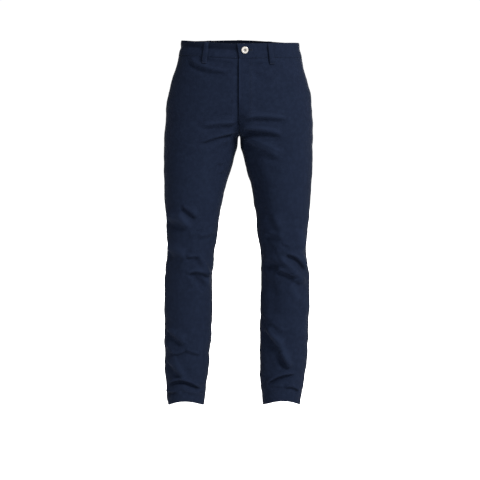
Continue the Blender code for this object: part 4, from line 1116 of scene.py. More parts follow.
def panel_grid(leg, face):
    """Outer and inner points of a panel, with their parameters."""
    s, v = panel_parameters(leg, face)
    point, normal = cloth_frame(leg, face, s, v)
    length = row_length(leg, face, v)
    above = height_above_hem(leg, face, s, v)
    z = point[..., 2]
    hem = 1.0 - smooth(HEM_DEPTH - HEM_BLEND, HEM_DEPTH, above)
    wall = sizes().wall + (sizes().hem_wall - sizes().wall) * hem
    drop = edge_drop(above, sizes().hem_wall / 2.0)
    if face == "front":
        strip = mouth_strip(leg, v)
        mouth = (1.0 - s) * length - strip
        radius = sizes().wall / 2.0
        drop = np.maximum(drop, edge_drop(mouth, radius) * smooth(*MOUTH_OPEN, strip))
        drop = np.maximum(drop, edge_drop(s * length, radius) * fly_level(z))
    outer, inner = both_sides(point, normal, drop, wall)
    side = SIDES[leg]
    for grid in (outer, inner):
        x = grid[..., 0] * side
        grid[..., 0] = np.where(v <= 1.0, np.maximum(x, 0.0), x) * side
        if face == "front":
            share = np.clip(1.0 - s * length / FLY_LEAN, 0.0, 1.0)
            lap = FLY_EDGE if leg == "left" else FLY_UNDERLAP
            lap = lap * smooth(*FLY_LAP_ENDS, grid[..., 2]) * share
            grid[..., 0] -= side * lap
    return outer, inner, s, v


def mark_wear(piece, leg, face, outer, s, v):
    """Crests get worn colour with painted highlight, hems worn colour, the fly's and mouths' edges
    painted highlight, and creases painted shade.
    """
    height, painted_shade = folds(leg, outer)
    above = height_above_hem(leg, face, s, v)
    # crests: worn cloth with painted highlight
    wear_and_highlight = CREST_WEAR_AND_HIGHLIGHT * smooth(*CREST_HEIGHTS, height)
    wear_and_highlight += HEM_WEAR * (1.0 - smooth(*HEM_RUBBED, above))
    if face == "front":
        length = row_length(leg, face, v)
        strip = mouth_strip(leg, v)
        mouth = (1.0 - s) * length - strip
        # painted highlight along a mouth's edge
        wear_and_highlight += (1.0 - smooth(0.0, MOUTH_HIGHLIGHT, mouth)) * smooth(*MOUTH_OPEN, strip)
        if leg == "left":
            # painted highlight along the fly's edge
            wear_and_highlight += (1.0 - smooth(0.0, FLY_HIGHLIGHT, s * length)) * fly_level(outer[..., 2])
    mark(piece, "wear_and_highlight", np.clip(wear_and_highlight, 0.0, 1.0))
    # painted shade in the folds' creases
    mark(piece, "painted_shade", painted_shade)


def make_panel(leg, face):
    outer, inner, s, v = panel_grid(leg, face)
    piece = cloth_shell("cloth_%s_%s" % (face, leg), outer, inner, twill(), flat_map(outer))
    mark_wear(piece, leg, face, outer, s, v)
    place(piece, "twill", "%s_%s" % (face, leg))
    return piece


def make_pocket(leg, finish):
    """Side facing that fills the slanted mouth, running on behind the front panel as the bag."""
    s, v = panel_parameters(leg, "front")
    first = round((1.0 - POCKET_SHARE) * s.shape[1])
    s, v = s[:, first::2], v[:, first::2]
    point, normal = cloth_frame(leg, "front", s, v)
    rows = point[:, -1, 2] > POCKET_BOTTOM
    s, v, point, normal = s[rows], v[rows], point[rows], normal[rows]
    down = v[:, -1]
    length = row_length(leg, "front", down)
    strip = mouth_strip(leg, down)
    sink = sizes().wall + 2 * SEAM_GAP
    columns, normals = [point - normal * sink], [normal]
    edge = np.minimum(FACING_EDGE, strip / 2.0)
    for part in np.linspace(0.0, 1.0, FACING_COLUMNS):
        clear = edge + part * (strip - edge)
        near, out = cloth_frame(leg, "front", s[:, -1] + clear / length, down)
        depth = sink * (1.0 - smooth(FACING_TURN, 1.0, part) * smooth(*FACING_OPEN, strip))
        columns.append((near - out * depth[:, None])[:, None, :])
        normals.append(out[:, None, :])
    front = np.concatenate(columns, axis=1)
    back = front - np.concatenate(normals, axis=1) * sizes().wall
    keep = np.ones((front.shape[0] - 1, front.shape[1] - 1), bool)
    keep[:, point.shape[1] - 1:] = (strip[:-1] > FACING_LEAST)[:, None]
    piece = cloth_shell("cloth_pocket_" + leg, front, back, finish, flat_map(front), keep)
    place(piece, "pocketing", "pocket_" + leg)
    return piece


# ---- waistband
BAND_STITCH = 0.0016       # rows of stitching this far inside the band's upper and lower edges
BAND_CELL = 0.0016         # size of the cells of its mesh
BAND_SLOPE = 0.01          # share of its length over which its direction is taken
BAND_LEAN = 0.010          # distance from the middle at which the slant of the lapping end begins
BAND_WAVE = 0.00025        # height of its slow waves, then the length, phase and slant of each
BAND_WAVES = ((0.061, 0.7, 0.0), (0.037, 0.0, 60.0))


def band_form(leg, face, distance, rise):
    """Point of the form on the waistband: distance along the cloth from the centre seam and
    height above the waist seam. A negative distance crosses to the other half."""
    distance, rise = np.broadcast_arrays(np.asarray(distance, float), np.asarray(rise, float))
    shape = distance.shape
    distance, rise = distance.ravel(), rise.ravel()
    s = np.abs(distance) / band_length(leg, face)
    cross = distance < 0.0
    z = waist_seam(leg, face, s) + rise
    point = section_point(leg, face, z, s)[0]
    ahead = section_point(leg, face, z, s + BAND_SLOPE)[0]
    behind = section_point(leg, face, z, np.maximum(s - BAND_SLOPE, 0.0))[0]
    along = ahead - behind
    normal = np.stack([along[..., 1], -along[..., 0], np.zeros_like(s)], axis=-1)
    normal *= SIDES[leg] * FACES[face]
    normal /= np.linalg.norm(normal, axis=-1, keepdims=True)
    for vector in (point, normal):
        vector[..., 0] = np.where(cross, -vector[..., 0], vector[..., 0])
    return point.reshape(shape + (3,)), normal.reshape(shape + (3,))


def band_length(leg, face):
    return section_point(leg, face, np.zeros(1), np.ones(1))[1][0]


def band_height(leg, face, distance, rise):
    """How far the waistband's face stands out from the form."""
    distance, rise = np.broadcast_arrays(np.asarray(distance, float), np.asarray(rise, float))
    height = BAND_PROUD - BAND_FOLD[leg] * bell(rise - BAND_FOLD["at"], BAND_FOLD["spread"])
    if face == "front":
        height = height + band_step(leg, distance)
    run = distance * SIDES[leg] * FACES[face]
    for edge in (rise, BAND_HEIGHT - rise):
        height = height - STITCH_DIP * bell(edge - BAND_STITCH, STITCH_SPREAD)
        height = height + sizes().pucker * pucker(run) * np.exp(-np.abs(edge) / PUCKER_SPREAD)
    waves = sum(np.sin(run * 2 * math.pi / length + phase + rise * slant)
                for length, phase, slant in BAND_WAVES)
    return height + BAND_WAVE * waves


def band_surface(leg, face, distance, rise):
    point, normal = band_form(leg, face, distance, rise)
    return point + normal * band_height(leg, face, distance, rise)[..., None], normal


def laid_point(leg, face, distance, rise):
    """Point of the finished cloth on or below the waistband, for what lies on it."""
    point, normal = band_form(leg, face, distance, rise)
    below = fold_height(leg, point) + wave_height(point)
    if face == "back":
        below = below + dart_height(point)
    on_band = band_height(leg, face, distance, rise)
    share = smooth(ON_BAND - LAID_BLEND, ON_BAND + LAID_BLEND,
                   np.broadcast_to(rise, point.shape[:-1]))
    height = below * (1.0 - share) + on_band * share
    return point + normal * height[..., None], normal


def make_band(leg):
    """Columns from the end at the centre front, past the side seam, to the centre back."""
    front, back = band_length(leg, "front"), band_length(leg, "back")
    lapping = leg == "left"
    first = -BAND_LAP if lapping else -BAND_UNDERLAP
    wall = sizes().band_wall
    radius = wall / 2.0
    lower = BUTTON_Z - HOLE["height"] / 2 - WAIST_SEAM["front"]
    stops = [first + k * radius for k in EDGE_STEPS] + [HOLE["from"], HOLE["to"]] if lapping else [first]
    ahead = split_runs(sorted(stops + [front]), BAND_CELL, 1)
    behind = np.linspace(back, SEAM_GAP / 2, math.ceil(back / BAND_CELL) + 1)[1:]
    rises = split_runs([0.0, lower, lower + HOLE["height"], BAND_HEIGHT], BAND_CELL, 2) / BAND_HEIGHT
    rises = edge_columns(rises, True, True, radius, BAND_HEIGHT) * BAND_HEIGHT
    walls, shade = [], []
    for face, distances in (("front", ahead), ("back", behind)):
        d, h = np.meshgrid(distances, rises[::-1])
        # painted shadow on the front above the band's fold
        shade.append(smooth(BAND_SHADE["from"], BAND_SHADE["to"], h) * (face == "front"))
        drop = np.maximum(edge_drop(h, radius), edge_drop(BAND_HEIGHT - h, radius))
        if face == "front" and lapping:
            drop = np.maximum(drop, edge_drop(np.broadcast_to(distances - first, d.shape), radius))
            share = np.clip(1.0 - (d - first) / (BAND_LEAN - first), 0.0, 1.0)
            d = d + BAND_LAP * (1.0 - h / BAND_HEIGHT) * share
        point, normal = band_surface(leg, face, d, h)
        walls.append(both_sides(point, normal, drop, wall))
    outer, inner = (np.concatenate(parts, axis=1) for parts in zip(*walls))
    for grid in (outer, inner):
        grid[:, -1, 0] = SIDES[leg] * SEAM_GAP / 2
    keep = np.ones((outer.shape[0] - 1, outer.shape[1] - 1), bool)
    if lapping:
        middle_d = (ahead[:-1] + ahead[1:]) / 2.0
        middle_h = (rises[::-1][:-1] + rises[::-1][1:]) / 2.0
        in_d = (middle_d > HOLE["from"]) & (middle_d < HOLE["to"])
        in_h = np.abs(middle_h - lower - HOLE["height"] / 2.0) < HOLE["height"] / 2.0
        keep[:, :len(middle_d)] &= ~(in_h[:, None] & in_d[None, :])
    piece = cloth_shell("band_" + leg, outer, inner, twill(), flat_map(outer), keep)
    # painted shadow across the right half's upper part
    if BAND_SHADE[leg] > 0.0:
        mark(piece, "painted_shade", BAND_SHADE[leg] * np.concatenate(shade, axis=1))
    place(piece, "twill", "waistband_" + leg)
    return piece


# ---- loops and welts
LOOP_CROWN = 0.0012        # how much a loop's middle stands out above its long edges
LOOP_GAP = 0.0006          # between the loop and the cloth beneath
LOOP_ROW = 0.72            # its two rows of stitching, in half widths from its middle
LOOP_ROW_DIP = (0.00022, 0.0009)    # depth and spread
LOOP_END_DIP = (0.0006, 0.0022)     # the same where its ends are caught
LOOP_CELLS = (13, 53)      # across and up
WELT_SLIT = 0.0013         # depth of the closed mouth between the two lips
WELT_SLIT_SPREAD = 0.0008
WELT_LIPS = 0.0005         # how far the lips bulge
WELT_GAP = 0.0004          # between the welt and the cloth beneath
WELT_CELLS = (87, 23)


def rounded_piece(name, node, point, normal, to_edge, wall):
    """Closed piece of twill with a rounded edge; to_edge is how far each point lies from it."""
    outer, inner = both_sides(point, normal, edge_drop(to_edge, wall / 2.0), wall)
    return place(cloth_shell(name, outer, inner, twill(), flat_map(outer)), "twill", node)


def loop_profile(rise):
    """Height of a loop above the band's face: its ends lie on the cloth, its middle stands off."""
    t = (rise + LOOP_DROP) / (BAND_HEIGHT + LOOP_DROP)
    return LOOP_BULGE * smooth(0.0, LOOP_TURNS["lower"], t) * smooth(0.0, LOOP_TURNS["upper"], 1.0 - t)


def loop_surface(leg, face, distance, across, rise):
    """Outer face of a belt loop. across runs from -1 to 1 over its width."""
    half = LOOP_WIDTH / 2.0
    point, normal = laid_point(leg, face, distance + across * half, rise)
    up = LOOP_GAP + loop_profile(rise) + sizes().loop_wall
    depth, spread = LOOP_ROW_DIP
    rows = depth * bell((np.abs(across) - LOOP_ROW) * half, spread)
    depth, spread = LOOP_END_DIP
    ends = depth * (bell(rise + LOOP_DROP, spread) + bell(rise - BAND_HEIGHT, spread))
    crown = LOOP_CROWN * (1.0 - across ** 2)
    return point + normal * (up - rows + crown - ends)[..., None], normal


def make_loop(name, leg, face, distance):
    wall = sizes().loop_wall
    reach = BAND_HEIGHT + LOOP_DROP + LOOP_OVER
    across = rounded_run(LOOP_CELLS[0], wall / 2.0, LOOP_WIDTH) * 2.0 - 1.0
    rises = -LOOP_DROP + rounded_run(LOOP_CELLS[1], wall / 2.0, reach) * reach
    a, h = np.meshgrid(across, rises[::-1])
    point, normal = loop_surface(leg, face, distance, a, h)
    to_edge = np.minimum((1.0 - np.abs(a)) * LOOP_WIDTH / 2.0,
                         np.minimum(h + LOOP_DROP, BAND_HEIGHT + LOOP_OVER - h))
    piece = rounded_piece("strap_" + name, name, point, normal, to_edge, wall)
    return piece


def welt_surface(leg, distance, down):
    """Double welt of a back pocket: two soft lips with the closed mouth between them."""
    point, normal = laid_point(leg, "back", distance, -WELT["drop"] - down)
    middle = WELT["height"] / 2.0
    slit = WELT_SLIT * bell(down - middle, WELT_SLIT_SPREAD)
    lips = WELT_LIPS * np.abs(np.sin(math.pi * down / middle))
    return point + normal * (WELT_GAP + sizes().welt_wall + lips - slit)[..., None], normal


def make_welt(leg):
    wall = sizes().welt_wall
    run = WELT["to"] - WELT["from"]
    across = rounded_run(WELT_CELLS[0], wall / 2.0, run)
    down = rounded_run(WELT_CELLS[1], wall / 2.0, WELT["height"])
    d, h = np.meshgrid(WELT["from"] + across * run, down * WELT["height"])
    point, normal = welt_surface(leg, d, h)
    to_edge = np.minimum(np.minimum(d - WELT["from"], WELT["to"] - d),
                         np.minimum(h, WELT["height"] - h))
    piece = rounded_piece("welt_" + leg, "back_welt_" + leg, point, normal, to_edge, wall)
    return piece


# ---- sewing
STITCH_RINGS = ((0.0, 0.35), (0.18, 0.95), (0.5, 1.0), (0.82, 0.95), (1.0, 0.35))
STITCH_SIDES = 6
STITCH_BOW = 1.3           # how high a stitch's middle bows up, in radii of its thread
STITCH_SUNK = 0.5          # how deep it is sunk into the cloth, in radii
STITCH_STEPS = 4           # points of a row in each stitch and gap
STITCH_LIFT = 0.0001
# Points along each kind of row before it is cut into stitches.
ROW_POINTS = {"hem": 90, "fly": 80, "fly foot": 60, "mouth": 120, "band": 260, "band end": 40,
              "loop": 60, "welt": 90, "welt end": 12}
HEM_ROUNDS = 3             # rounds in which a hem's row settles at its height
FRONT_ROUNDS = 6           # rounds in which a front's row settles at its places
FRONT_SETTLE = 0.8         # share of the way that it settles down the cloth in each
FRONT_SAMPLES = 200
FLY_ROW_TOP = 0.002        # the fly's rows start this far below the waistband
FLY_ROW_END = 0.004        # and end this far from the middle
MOUTH_ROWS = (0.01, 0.62)  # where the mouths' rows may lie, down from waist (0) to crotch (1)
BAND_ROW_STARTS = {"right": 0.010, "back": 0.001}   # distances from the middle
LOOP_ROW_ENDS = (0.0035, 0.003)
WELT_STITCH = 0.0016       # the row around a welt, outside its edge
BAR_THREAD = 0.8           # thickness of a bar's thread, as a share of the sewing thread's
BAR_SUNK = 0.4
LOOP_BAR = {"threads": 22, "length": 0.0020, "width": 1.5, "ends": (0.0018, 0.0016)}
WELT_BAR = {"threads": 24, "length": 0.0020, "width": 0.012, "out": 0.001}
MOUTH_BAR = {"threads": 18, "length": 0.0018, "width": 0.007, "in": 0.0045,
             "heights": (-0.036, MOUTH_BOTTOM + 0.004), "run": 0.26}
# The buttonhole's satin stitches: reach past the slot, pitch, how far inside the slot they start
# along it and at its ends, and the angles of the fan at an end.
HOLE_STITCH = {"reach": 0.0024, "pitch": 0.00055, "inside": 0.7, "end": 0.5, "fan": 80.0,
               "turn": 16.0, "thread": 0.00028}


def resample(points, normals, step):
    """Points and normals a step apart along a line."""
    run = np.concatenate([[0.0], np.cumsum(np.linalg.norm(np.diff(points, axis=0), axis=1))])
    at = np.arange(0.0, run[-1], step)
    pick = lambda values: np.stack([np.interp(at, run, values[:, k]) for k in range(3)], axis=1)
    return pick(points), pick(normals)


def stitch_mesh(starts, ends, normals, radius):
    """Small bowed capsules from start to end, half sunk into the cloth."""
    count = len(starts)
    along = ends - starts
    length = np.linalg.norm(along, axis=1, keepdims=True)
    along = along / np.maximum(length, 1e-9)
    side = np.cross(normals, along)
    side /= np.maximum(np.linalg.norm(side, axis=1, keepdims=True), 1e-9)
    up = np.cross(along, side)
    turn = np.linspace(0.0, 2.0 * math.pi, STITCH_SIDES, endpoint=False)
    rings = []
    for t, share in STITCH_RINGS:
        bow = STITCH_BOW * math.sin(math.pi * t) - STITCH_SUNK
        middle = starts + along * length * t + up * radius * bow
        ring = [middle + radius * share * (np.cos(a) * side + np.sin(a) * up) for a in turn]
        rings.append(np.stack(ring, axis=1))
    points = np.stack(rings, axis=1).reshape(-1, 3)
    per = len(STITCH_RINGS) * STITCH_SIDES
    base = np.arange(count)[:, None, None] * per
    quads = np.concatenate(ring_quads(len(STITCH_RINGS), STITCH_SIDES))
    n = np.arange(STITCH_SIDES)
    caps = np.array([n[::-1], n + per - STITCH_SIDES])
    return points, (base + quads).reshape(-1, 4), (base + caps).reshape(-1, STITCH_SIDES)


def sew(name, lines, finish):
    """One joined piece of stitches along lines, each a pair of points and normals."""
    pitch = sizes().stitch + sizes().stitch_gap
    starts, ends, outs = [], [], []
    for points, normals in lines:
        fine, out = resample(points, normals, pitch / STITCH_STEPS)
        fine = fine + out * STITCH_LIFT
        first = np.arange(0, len(fine) - STITCH_STEPS, STITCH_STEPS)
        share = sizes().stitch / pitch * STITCH_STEPS
        low = int(share)
        last = fine[first + low] + (fine[first + low + 1] - fine[first + low]) * (share - low)
        starts.append(fine[first])
        ends.append(last)
        outs.append(out[first + STITCH_STEPS // 2])
    return stitched(name, np.concatenate(starts), np.concatenate(ends), np.concatenate(outs), finish,
                    sizes().thread)


def stitched(name, starts, ends, outs, finish, radius):
    points, quads, caps = stitch_mesh(starts, ends, outs, radius)
    piece = mesh_object(name, points, [quads, caps], [finish])
    return place(piece, "twill")


def hem_lines():
    """Around each hem, a little below the top of its turn-up."""
    s = np.linspace(0.0, 1.0, ROW_POINTS["hem"])
    lines = []
    for leg in SIDES:
        for face in FACES:
            v = np.full_like(s, 2.0)
            for _ in range(HEM_ROUNDS):
                v = v - (HEM_STITCH - height_above_hem(leg, face, s, v)) / (CROTCH_Z - HEM_Z)
            lines.append(cloth_frame(leg, face, s, v))
    return lines


def fly_lines():
    """Two rows down the left front that curve in to the centre seam."""
    drop = np.sin(np.linspace(0.0, 1.0, ROW_POINTS["fly foot"]) * math.pi / 2.0)
    top = WAIST_SEAM["front"] - FLY_ROW_TOP
    z = np.concatenate([np.linspace(top, FLY_STITCH_FOOT, ROW_POINTS["fly"])[:-1],
                        FLY_STITCH_FOOT - (FLY_STITCH_FOOT - FLY_BOTTOM) * drop])
    return [front_line("left", np.maximum(fly_row_x(offset, z), FLY_ROW_END), z)
            for offset in FLY_STITCH]


def front_line(leg, x, z):
    """The finished cloth of a front at the places (x, z)."""
    hip = np.linspace(0.0, 1.0, FRONT_SAMPLES)
    v = np.interp(-z, -rise_heights("front", hip), hip)
    s = x / row_length(leg, "front", v)
    for _ in range(FRONT_ROUNDS):
        point = panel_point(leg, "front", s, v)
        s = s + (x - np.abs(point[:, 0])) / row_length(leg, "front", v)
        down = (point[:, 2] - z) / (WAIST_SEAM["front"] - CROTCH_Z)
        v = np.clip(v + down * FRONT_SETTLE, 0.0, 1.5)
        s = np.clip(s, 0.001, 0.999)
    return cloth_frame(leg, "front", s, v)


def mouth_lines():
    """Two rows beside each pocket mouth."""
    lines = []
    v = np.linspace(*MOUTH_ROWS, ROW_POINTS["mouth"])
    for leg in SIDES:
        z = row_height(leg, "front", np.ones_like(v), v)
        on = z > MOUTH_BOTTOM
        for offset in MOUTH_STITCH:
            s = 1.0 - (mouth_width(z) + offset) / row_length(leg, "front", v)
            lines.append(cloth_frame(leg, "front", s[on], v[on]))
    return lines


def band_lines(leg):
    """Along the band's upper and lower edges, and down its lapped end."""
    lines = []
    for rise in (BAND_STITCH, BAND_HEIGHT - BAND_STITCH):
        start = BAND_ROW_STARTS["right"]
        if leg == "left":
            start = -BAND_LAP * rise / BAND_HEIGHT + BAND_STITCH
        for face, low in (("front", start), ("back", BAND_ROW_STARTS["back"])):
            d = np.linspace(low, band_length(leg, face), ROW_POINTS["band"])
            lines.append(band_surface(leg, face, d, np.full_like(d, rise)))
    if leg == "left":
        rise = np.linspace(BAND_STITCH, BAND_HEIGHT - BAND_STITCH, ROW_POINTS["band end"])
        lines.append(band_surface("left", "front", BAND_STITCH - BAND_LAP * rise / BAND_HEIGHT, rise))
    return lines


def loop_lines():
    """Two rows along each belt loop."""
    low, high = LOOP_ROW_ENDS
    rise = np.linspace(-LOOP_DROP + low, BAND_HEIGHT - high, ROW_POINTS["loop"])
    return [loop_surface(leg, face, distance, np.full_like(rise, across), rise)
            for _, leg, face, distance in LOOPS for across in (-LOOP_ROW, LOOP_ROW)]


def welt_lines():
    """Around each back pocket's welt, on the panel."""
    lines = []
    sides = WELT["from"] - WELT_STITCH, WELT["to"] + WELT_STITCH
    ends = -WELT_STITCH, WELT["height"] + WELT_STITCH
    d = np.linspace(*sides, ROW_POINTS["welt"])
    h = np.linspace(*ends, ROW_POINTS["welt end"])
    for leg in SIDES:
        for down in ends:
            lines.append(laid_point(leg, "back", d, np.full_like(d, -WELT["drop"] - down)))
        for side in sides:
            lines.append(laid_point(leg, "back", np.full_like(h, side), -WELT["drop"] - h))
    return lines


def bartack(surface, across, along, bar):
    """Close zigzag bars: starts, ends and normals of threads that lie side by side."""
    sunk = sizes().thread * BAR_THREAD * BAR_SUNK
    half = 0.5 * bar["length"]
    starts, ends, outs = [], [], []
    for k in range(bar["threads"]):
        t = k / (bar["threads"] - 1.0) - 0.5
        low, high = (surface(np.array([across(t, x)]), np.array([along(t, x)])) for x in (-half, half))
        out = low[1][0]
        starts.append(low[0][0] + out * sunk)
        ends.append(high[0][0] + out * sunk)
        outs.append(out)
    return np.array(starts), np.array(ends), np.array(outs)


def all_bartacks():
    """Bars at both ends of each belt loop, each welt and each pocket mouth."""
    sets = []
    for _, leg, face, distance in LOOPS:
        low, high = LOOP_BAR["ends"]
        for rise in (-LOOP_DROP + low, BAND_HEIGHT - high):
            sets.append(bartack(lambda a, h: loop_surface(leg, face, distance, a, h),
                                lambda t, x: LOOP_BAR["width"] * t, lambda t, x: rise + x, LOOP_BAR))
    for leg in SIDES:
        middle = -WELT["drop"] - WELT["height"] / 2.0
        for end in (WELT["from"] - WELT_BAR["out"], WELT["to"] + WELT_BAR["out"]):
            sets.append(bartack(lambda d, h: laid_point(leg, "back", d, h), lambda t, x: end + x,
                                lambda t, x: middle + WELT_BAR["width"] * t, WELT_BAR))
        for height in MOUTH_BAR["heights"]:
            v = (WAIST_SEAM["side"] - height) / (WAIST_SEAM["side"] - SIDE_CROTCH_Z)
            strip = mouth_width(height)
            length = row_length(leg, "front", v)
            spot = lambda a, h: cloth_frame(leg, "front", 1.0 - (strip + a) / length,
                                            v - h / MOUTH_BAR["run"])
            sets.append(bartack(spot, lambda t, x: MOUTH_BAR["in"] + MOUTH_BAR["width"] * t,
                                lambda t, x: x, MOUTH_BAR))
    return [np.concatenate(parts) for parts in zip(*sets)]


def buttonhole_threads():
    """Satin stitches round the slot in the waistband, fanned at its ends."""
    middle = BUTTON_Z - WAIST_SEAM["front"]
    half, inside, fan = HOLE["height"] / 2.0, HOLE_STITCH["inside"], HOLE_STITCH["fan"]
    reach = half + HOLE_STITCH["reach"]
    spots = []
    for d in np.arange(HOLE["from"], HOLE["to"], HOLE_STITCH["pitch"]):
        for sign in (-1.0, 1.0):
            spots.append((d, middle + sign * half * inside, d, middle + sign * reach))
    for end, sign in ((HOLE["from"], -1.0), (HOLE["to"], 1.0)):
        for angle in np.radians(np.arange(-fan, fan + 1.0, HOLE_STITCH["turn"])):
            dx, dz = sign * math.cos(angle), math.sin(angle)
            spots.append((end + dx * half * HOLE_STITCH["end"], middle + dz * half * inside,
                          end + dx * reach, middle + dz * reach))
    spots = np.array(spots)
    low, out = band_surface("left", "front", spots[:, 0], spots[:, 1])
    high, _ = band_surface("left", "front", spots[:, 2], spots[:, 3])
    return low, high, out


# ---- fastenings
TIP = 1e-5                 # radius of the ring that closes a turned shape
BUTTON_RIM = 0.0013
BUTTON_RIM_STEPS = 15
BUTTON_BACK = 0.0006       # the flat back ends this far inside the rim's round
BUTTON_DISH = ((0.0066, 0.0026), (0.0056, 0.00245), (0.0048, 0.0022), (0.0043, 0.0018),
               (0.0039, 0.0014), (0.0034, 0.00115), (0.0026, 0.0010), (TIP, 0.00095))
BUTTON_DULL = 0.0044       # radius of its dull middle
BUTTON_SHANK = ((0.0011, -0.0030), (0.0012, -0.0015), (0.0011, 0.0002))
BUTTON_GAP = 0.0012        # between the button's back and the waistband
BUTTON_BARS = {"across": 0.0012, "threads": 5, "pitch": 0.00024, "height": 0.00105, "half": 0.0015,
               "thread": 0.00016}


def turned(profile, steps):
    """Points and quads turned about +Z from (radius, height) pairs."""
    angle = np.linspace(0.0, 2.0 * math.pi, steps, endpoint=False)
    rings = [np.stack([r * np.cos(angle), r * np.sin(angle), np.full(steps, h)], axis=1)
             for r, h in profile]
    return np.concatenate(rings), ring_quads(len(profile), steps)


def button_profile():
    """Flat back, rounded rim, and a dished middle, from the back round to the front's middle."""
    rim = BUTTON_RIM
    line = [(TIP, 0.0), (BUTTON_RADIUS - rim - BUTTON_BACK, 0.0)]
    for angle in np.radians(np.linspace(-90.0, 90.0, BUTTON_RIM_STEPS)):
        line.append((BUTTON_RADIUS - rim + rim * math.cos(angle), rim * (1.0 + math.sin(angle))))
    return line + list(BUTTON_DISH)


def make_button():
    pearl = pearl_material("button pearl", tuple(colours().button), 0.16, 0.86)
    middle = pearl_material("button middle", tuple(colours().button_middle), 0.34, 0.80)
    profile = button_profile()
    points, quads = turned(profile, 64)
    marks = [int(height > 0.0 and radius < BUTTON_DULL) for radius, height in profile[:-1]]
    shank, shank_quads = turned(BUTTON_SHANK, 16)
    quads += [q + len(points) for q in shank_quads]
    marks += [1] * len(shank_quads)
    piece = mesh_object("button_waist", np.concatenate([points, shank]), quads, [pearl, middle],
                        marks=marks)
    spot, normal = button_seat()
    turn = Vector((0.0, 0.0, 1.0)).rotation_difference(Vector(normal))
    piece.matrix_world = Matrix.Translation(Vector(spot)) @ turn.to_matrix().to_4x4()
    return place(piece, "button", "waist_button")


def button_seat():
    rise = np.array([BUTTON_Z - WAIST_SEAM["front"]])
    spot, normal = band_surface("left", "front", np.array([BUTTON_X]), rise)
    return spot[0] + normal[0] * BUTTON_GAP, normal[0]


def button_threads(finish):
    """Two bars of thread across the button's dished middle."""
    spot, normal = button_seat()
    side = np.array([1.0, 0.0, 0.0]) - normal * normal[0]
    side /= np.linalg.norm(side)
    up = np.cross(normal, side)
    half, count = BUTTON_BARS["half"], BUTTON_BARS["threads"]
    starts, ends, outs = [], [], []
    for across in (-BUTTON_BARS["across"], BUTTON_BARS["across"]):
        for k in range(count):
            x = across + (k - count // 2) * BUTTON_BARS["pitch"]
            middle = spot + normal * BUTTON_BARS["height"] + side * x
            starts.append(middle - up * half)
            ends.append(middle + up * half)
            outs.append(normal)
    return stitched("button_thread", np.array(starts), np.array(ends), np.array(outs), finish,
                    BUTTON_BARS["thread"])


ZIP_CELLS = (35, 110)
ZIP_CORD = {"height": 0.00035, "from_middle": 0.0034, "spread": 0.0009}
TAPE_SUNK = 0.0004
TAPE_WALL = 0.0007
CHAIN = {"below_top": 0.022, "above_foot": 0.006, "reach": 0.0009, "proud": 0.0003}
TOOTH_HALVES = (0.0019, 0.00072, 0.0006)
TOOTH_TAPER = 0.72         # width of a tooth's front, as a share of its foot's
SLIDER_DROP = 0.010
SLIDER_BEVEL = 0.0003
SLIDER_FRONT = 0.86        # size of a plate's front inside its bevel, as a share of its outline
SLIDER_EDGE = 35.0         # faces that meet more sharply than this, in degrees, have a hard edge
SLIDER_BODY = ((-0.0044, 0.000), (0.0044, 0.000), (0.0048, -0.003), (0.0040, -0.009),
               (0.0026, -0.012), (-0.0026, -0.012), (-0.0040, -0.009), (-0.0048, -0.003))
SLIDER_TAB = ((-0.0012, -0.006), (0.0012, -0.006), (0.0019, -0.012), (0.0025, -0.026),
              (0.0018, -0.030), (-0.0018, -0.030), (-0.0025, -0.026), (-0.0019, -0.012))
SLIDER_PLATES = ((SLIDER_BODY, 0.0003, 0.0011), (SLIDER_TAB, 0.0012, 0.0017))   # and front and back
BOX_FACES = np.array([[0, 1, 3, 2], [4, 6, 7, 5], [0, 4, 5, 1], [2, 3, 7, 6], [0, 2, 6, 4], [1, 5, 7, 3]])


def zip_frame(distance, rise):
    point, normal = band_form("left", "front", distance, rise)
    return point - normal * FLY_LINING, normal


def make_zip_tape(finish):
    """Woven tape behind the fly with a raised cord along each side of the chain."""
    d = np.linspace(ZIP["from"], ZIP["to"], ZIP_CELLS[0])
    rise = np.linspace(ZIP["top"], ZIP["foot"] - WAIST_SEAM["front"], ZIP_CELLS[1])
    d, h = np.meshgrid(d, rise)
    point, normal = zip_frame(d, h)
    cord = ZIP_CORD["height"] * bell(np.abs(d - ZIP["middle"]) - ZIP_CORD["from_middle"],
                                     ZIP_CORD["spread"])
    face = point + normal * (cord - TAPE_SUNK)[..., None]
    piece = cloth_shell("zip_tape_woven", face, face - normal * TAPE_WALL, finish, flat_map(face))
    place(piece, "zip_tape", "zip_tape")
    return piece


def blocks(centres, axes, halves):
    """Corners and faces of small blocks, narrower at their front."""
    points, faces = [], []
    for centre, (a, b, c), (x, y, z) in zip(centres, axes, halves):
        base = 8 * len(faces)
        for i in (-1, 1):
            for j in (-1, 1):
                for k in (-1, 1):
                    taper = TOOTH_TAPER if k > 0 else 1.0
                    points.append(centre + a * i * x * taper + b * j * y * taper + c * k * z)
        faces.append(BOX_FACES + base)
    return np.array(points), np.concatenate(faces)


def make_zip_teeth(finish):
    """Teeth of the closed chain, from both sides in turn."""
    top = ZIP["top"] - CHAIN["below_top"]
    foot = ZIP["foot"] - WAIST_SEAM["front"] + CHAIN["above_foot"]
    rise = np.arange(foot, top, sizes().tooth / 2.0)
    hand = np.where(np.arange(len(rise)) % 2 == 0, 1.0, -1.0)
    point, normal = zip_frame(ZIP["middle"] + hand * CHAIN["reach"], rise)
    down = np.array([0.0, 0.0, 1.0])
    side = np.cross(down, normal)
    axes = [(s, down, n) for s, n in zip(side, normal)]
    centres = point + normal * CHAIN["proud"]
    points, faces = blocks(centres, axes, [TOOTH_HALVES] * len(rise))
    piece = mesh_object("zip_teeth", points, [faces], [finish])
    return place(piece, "zip_metal")


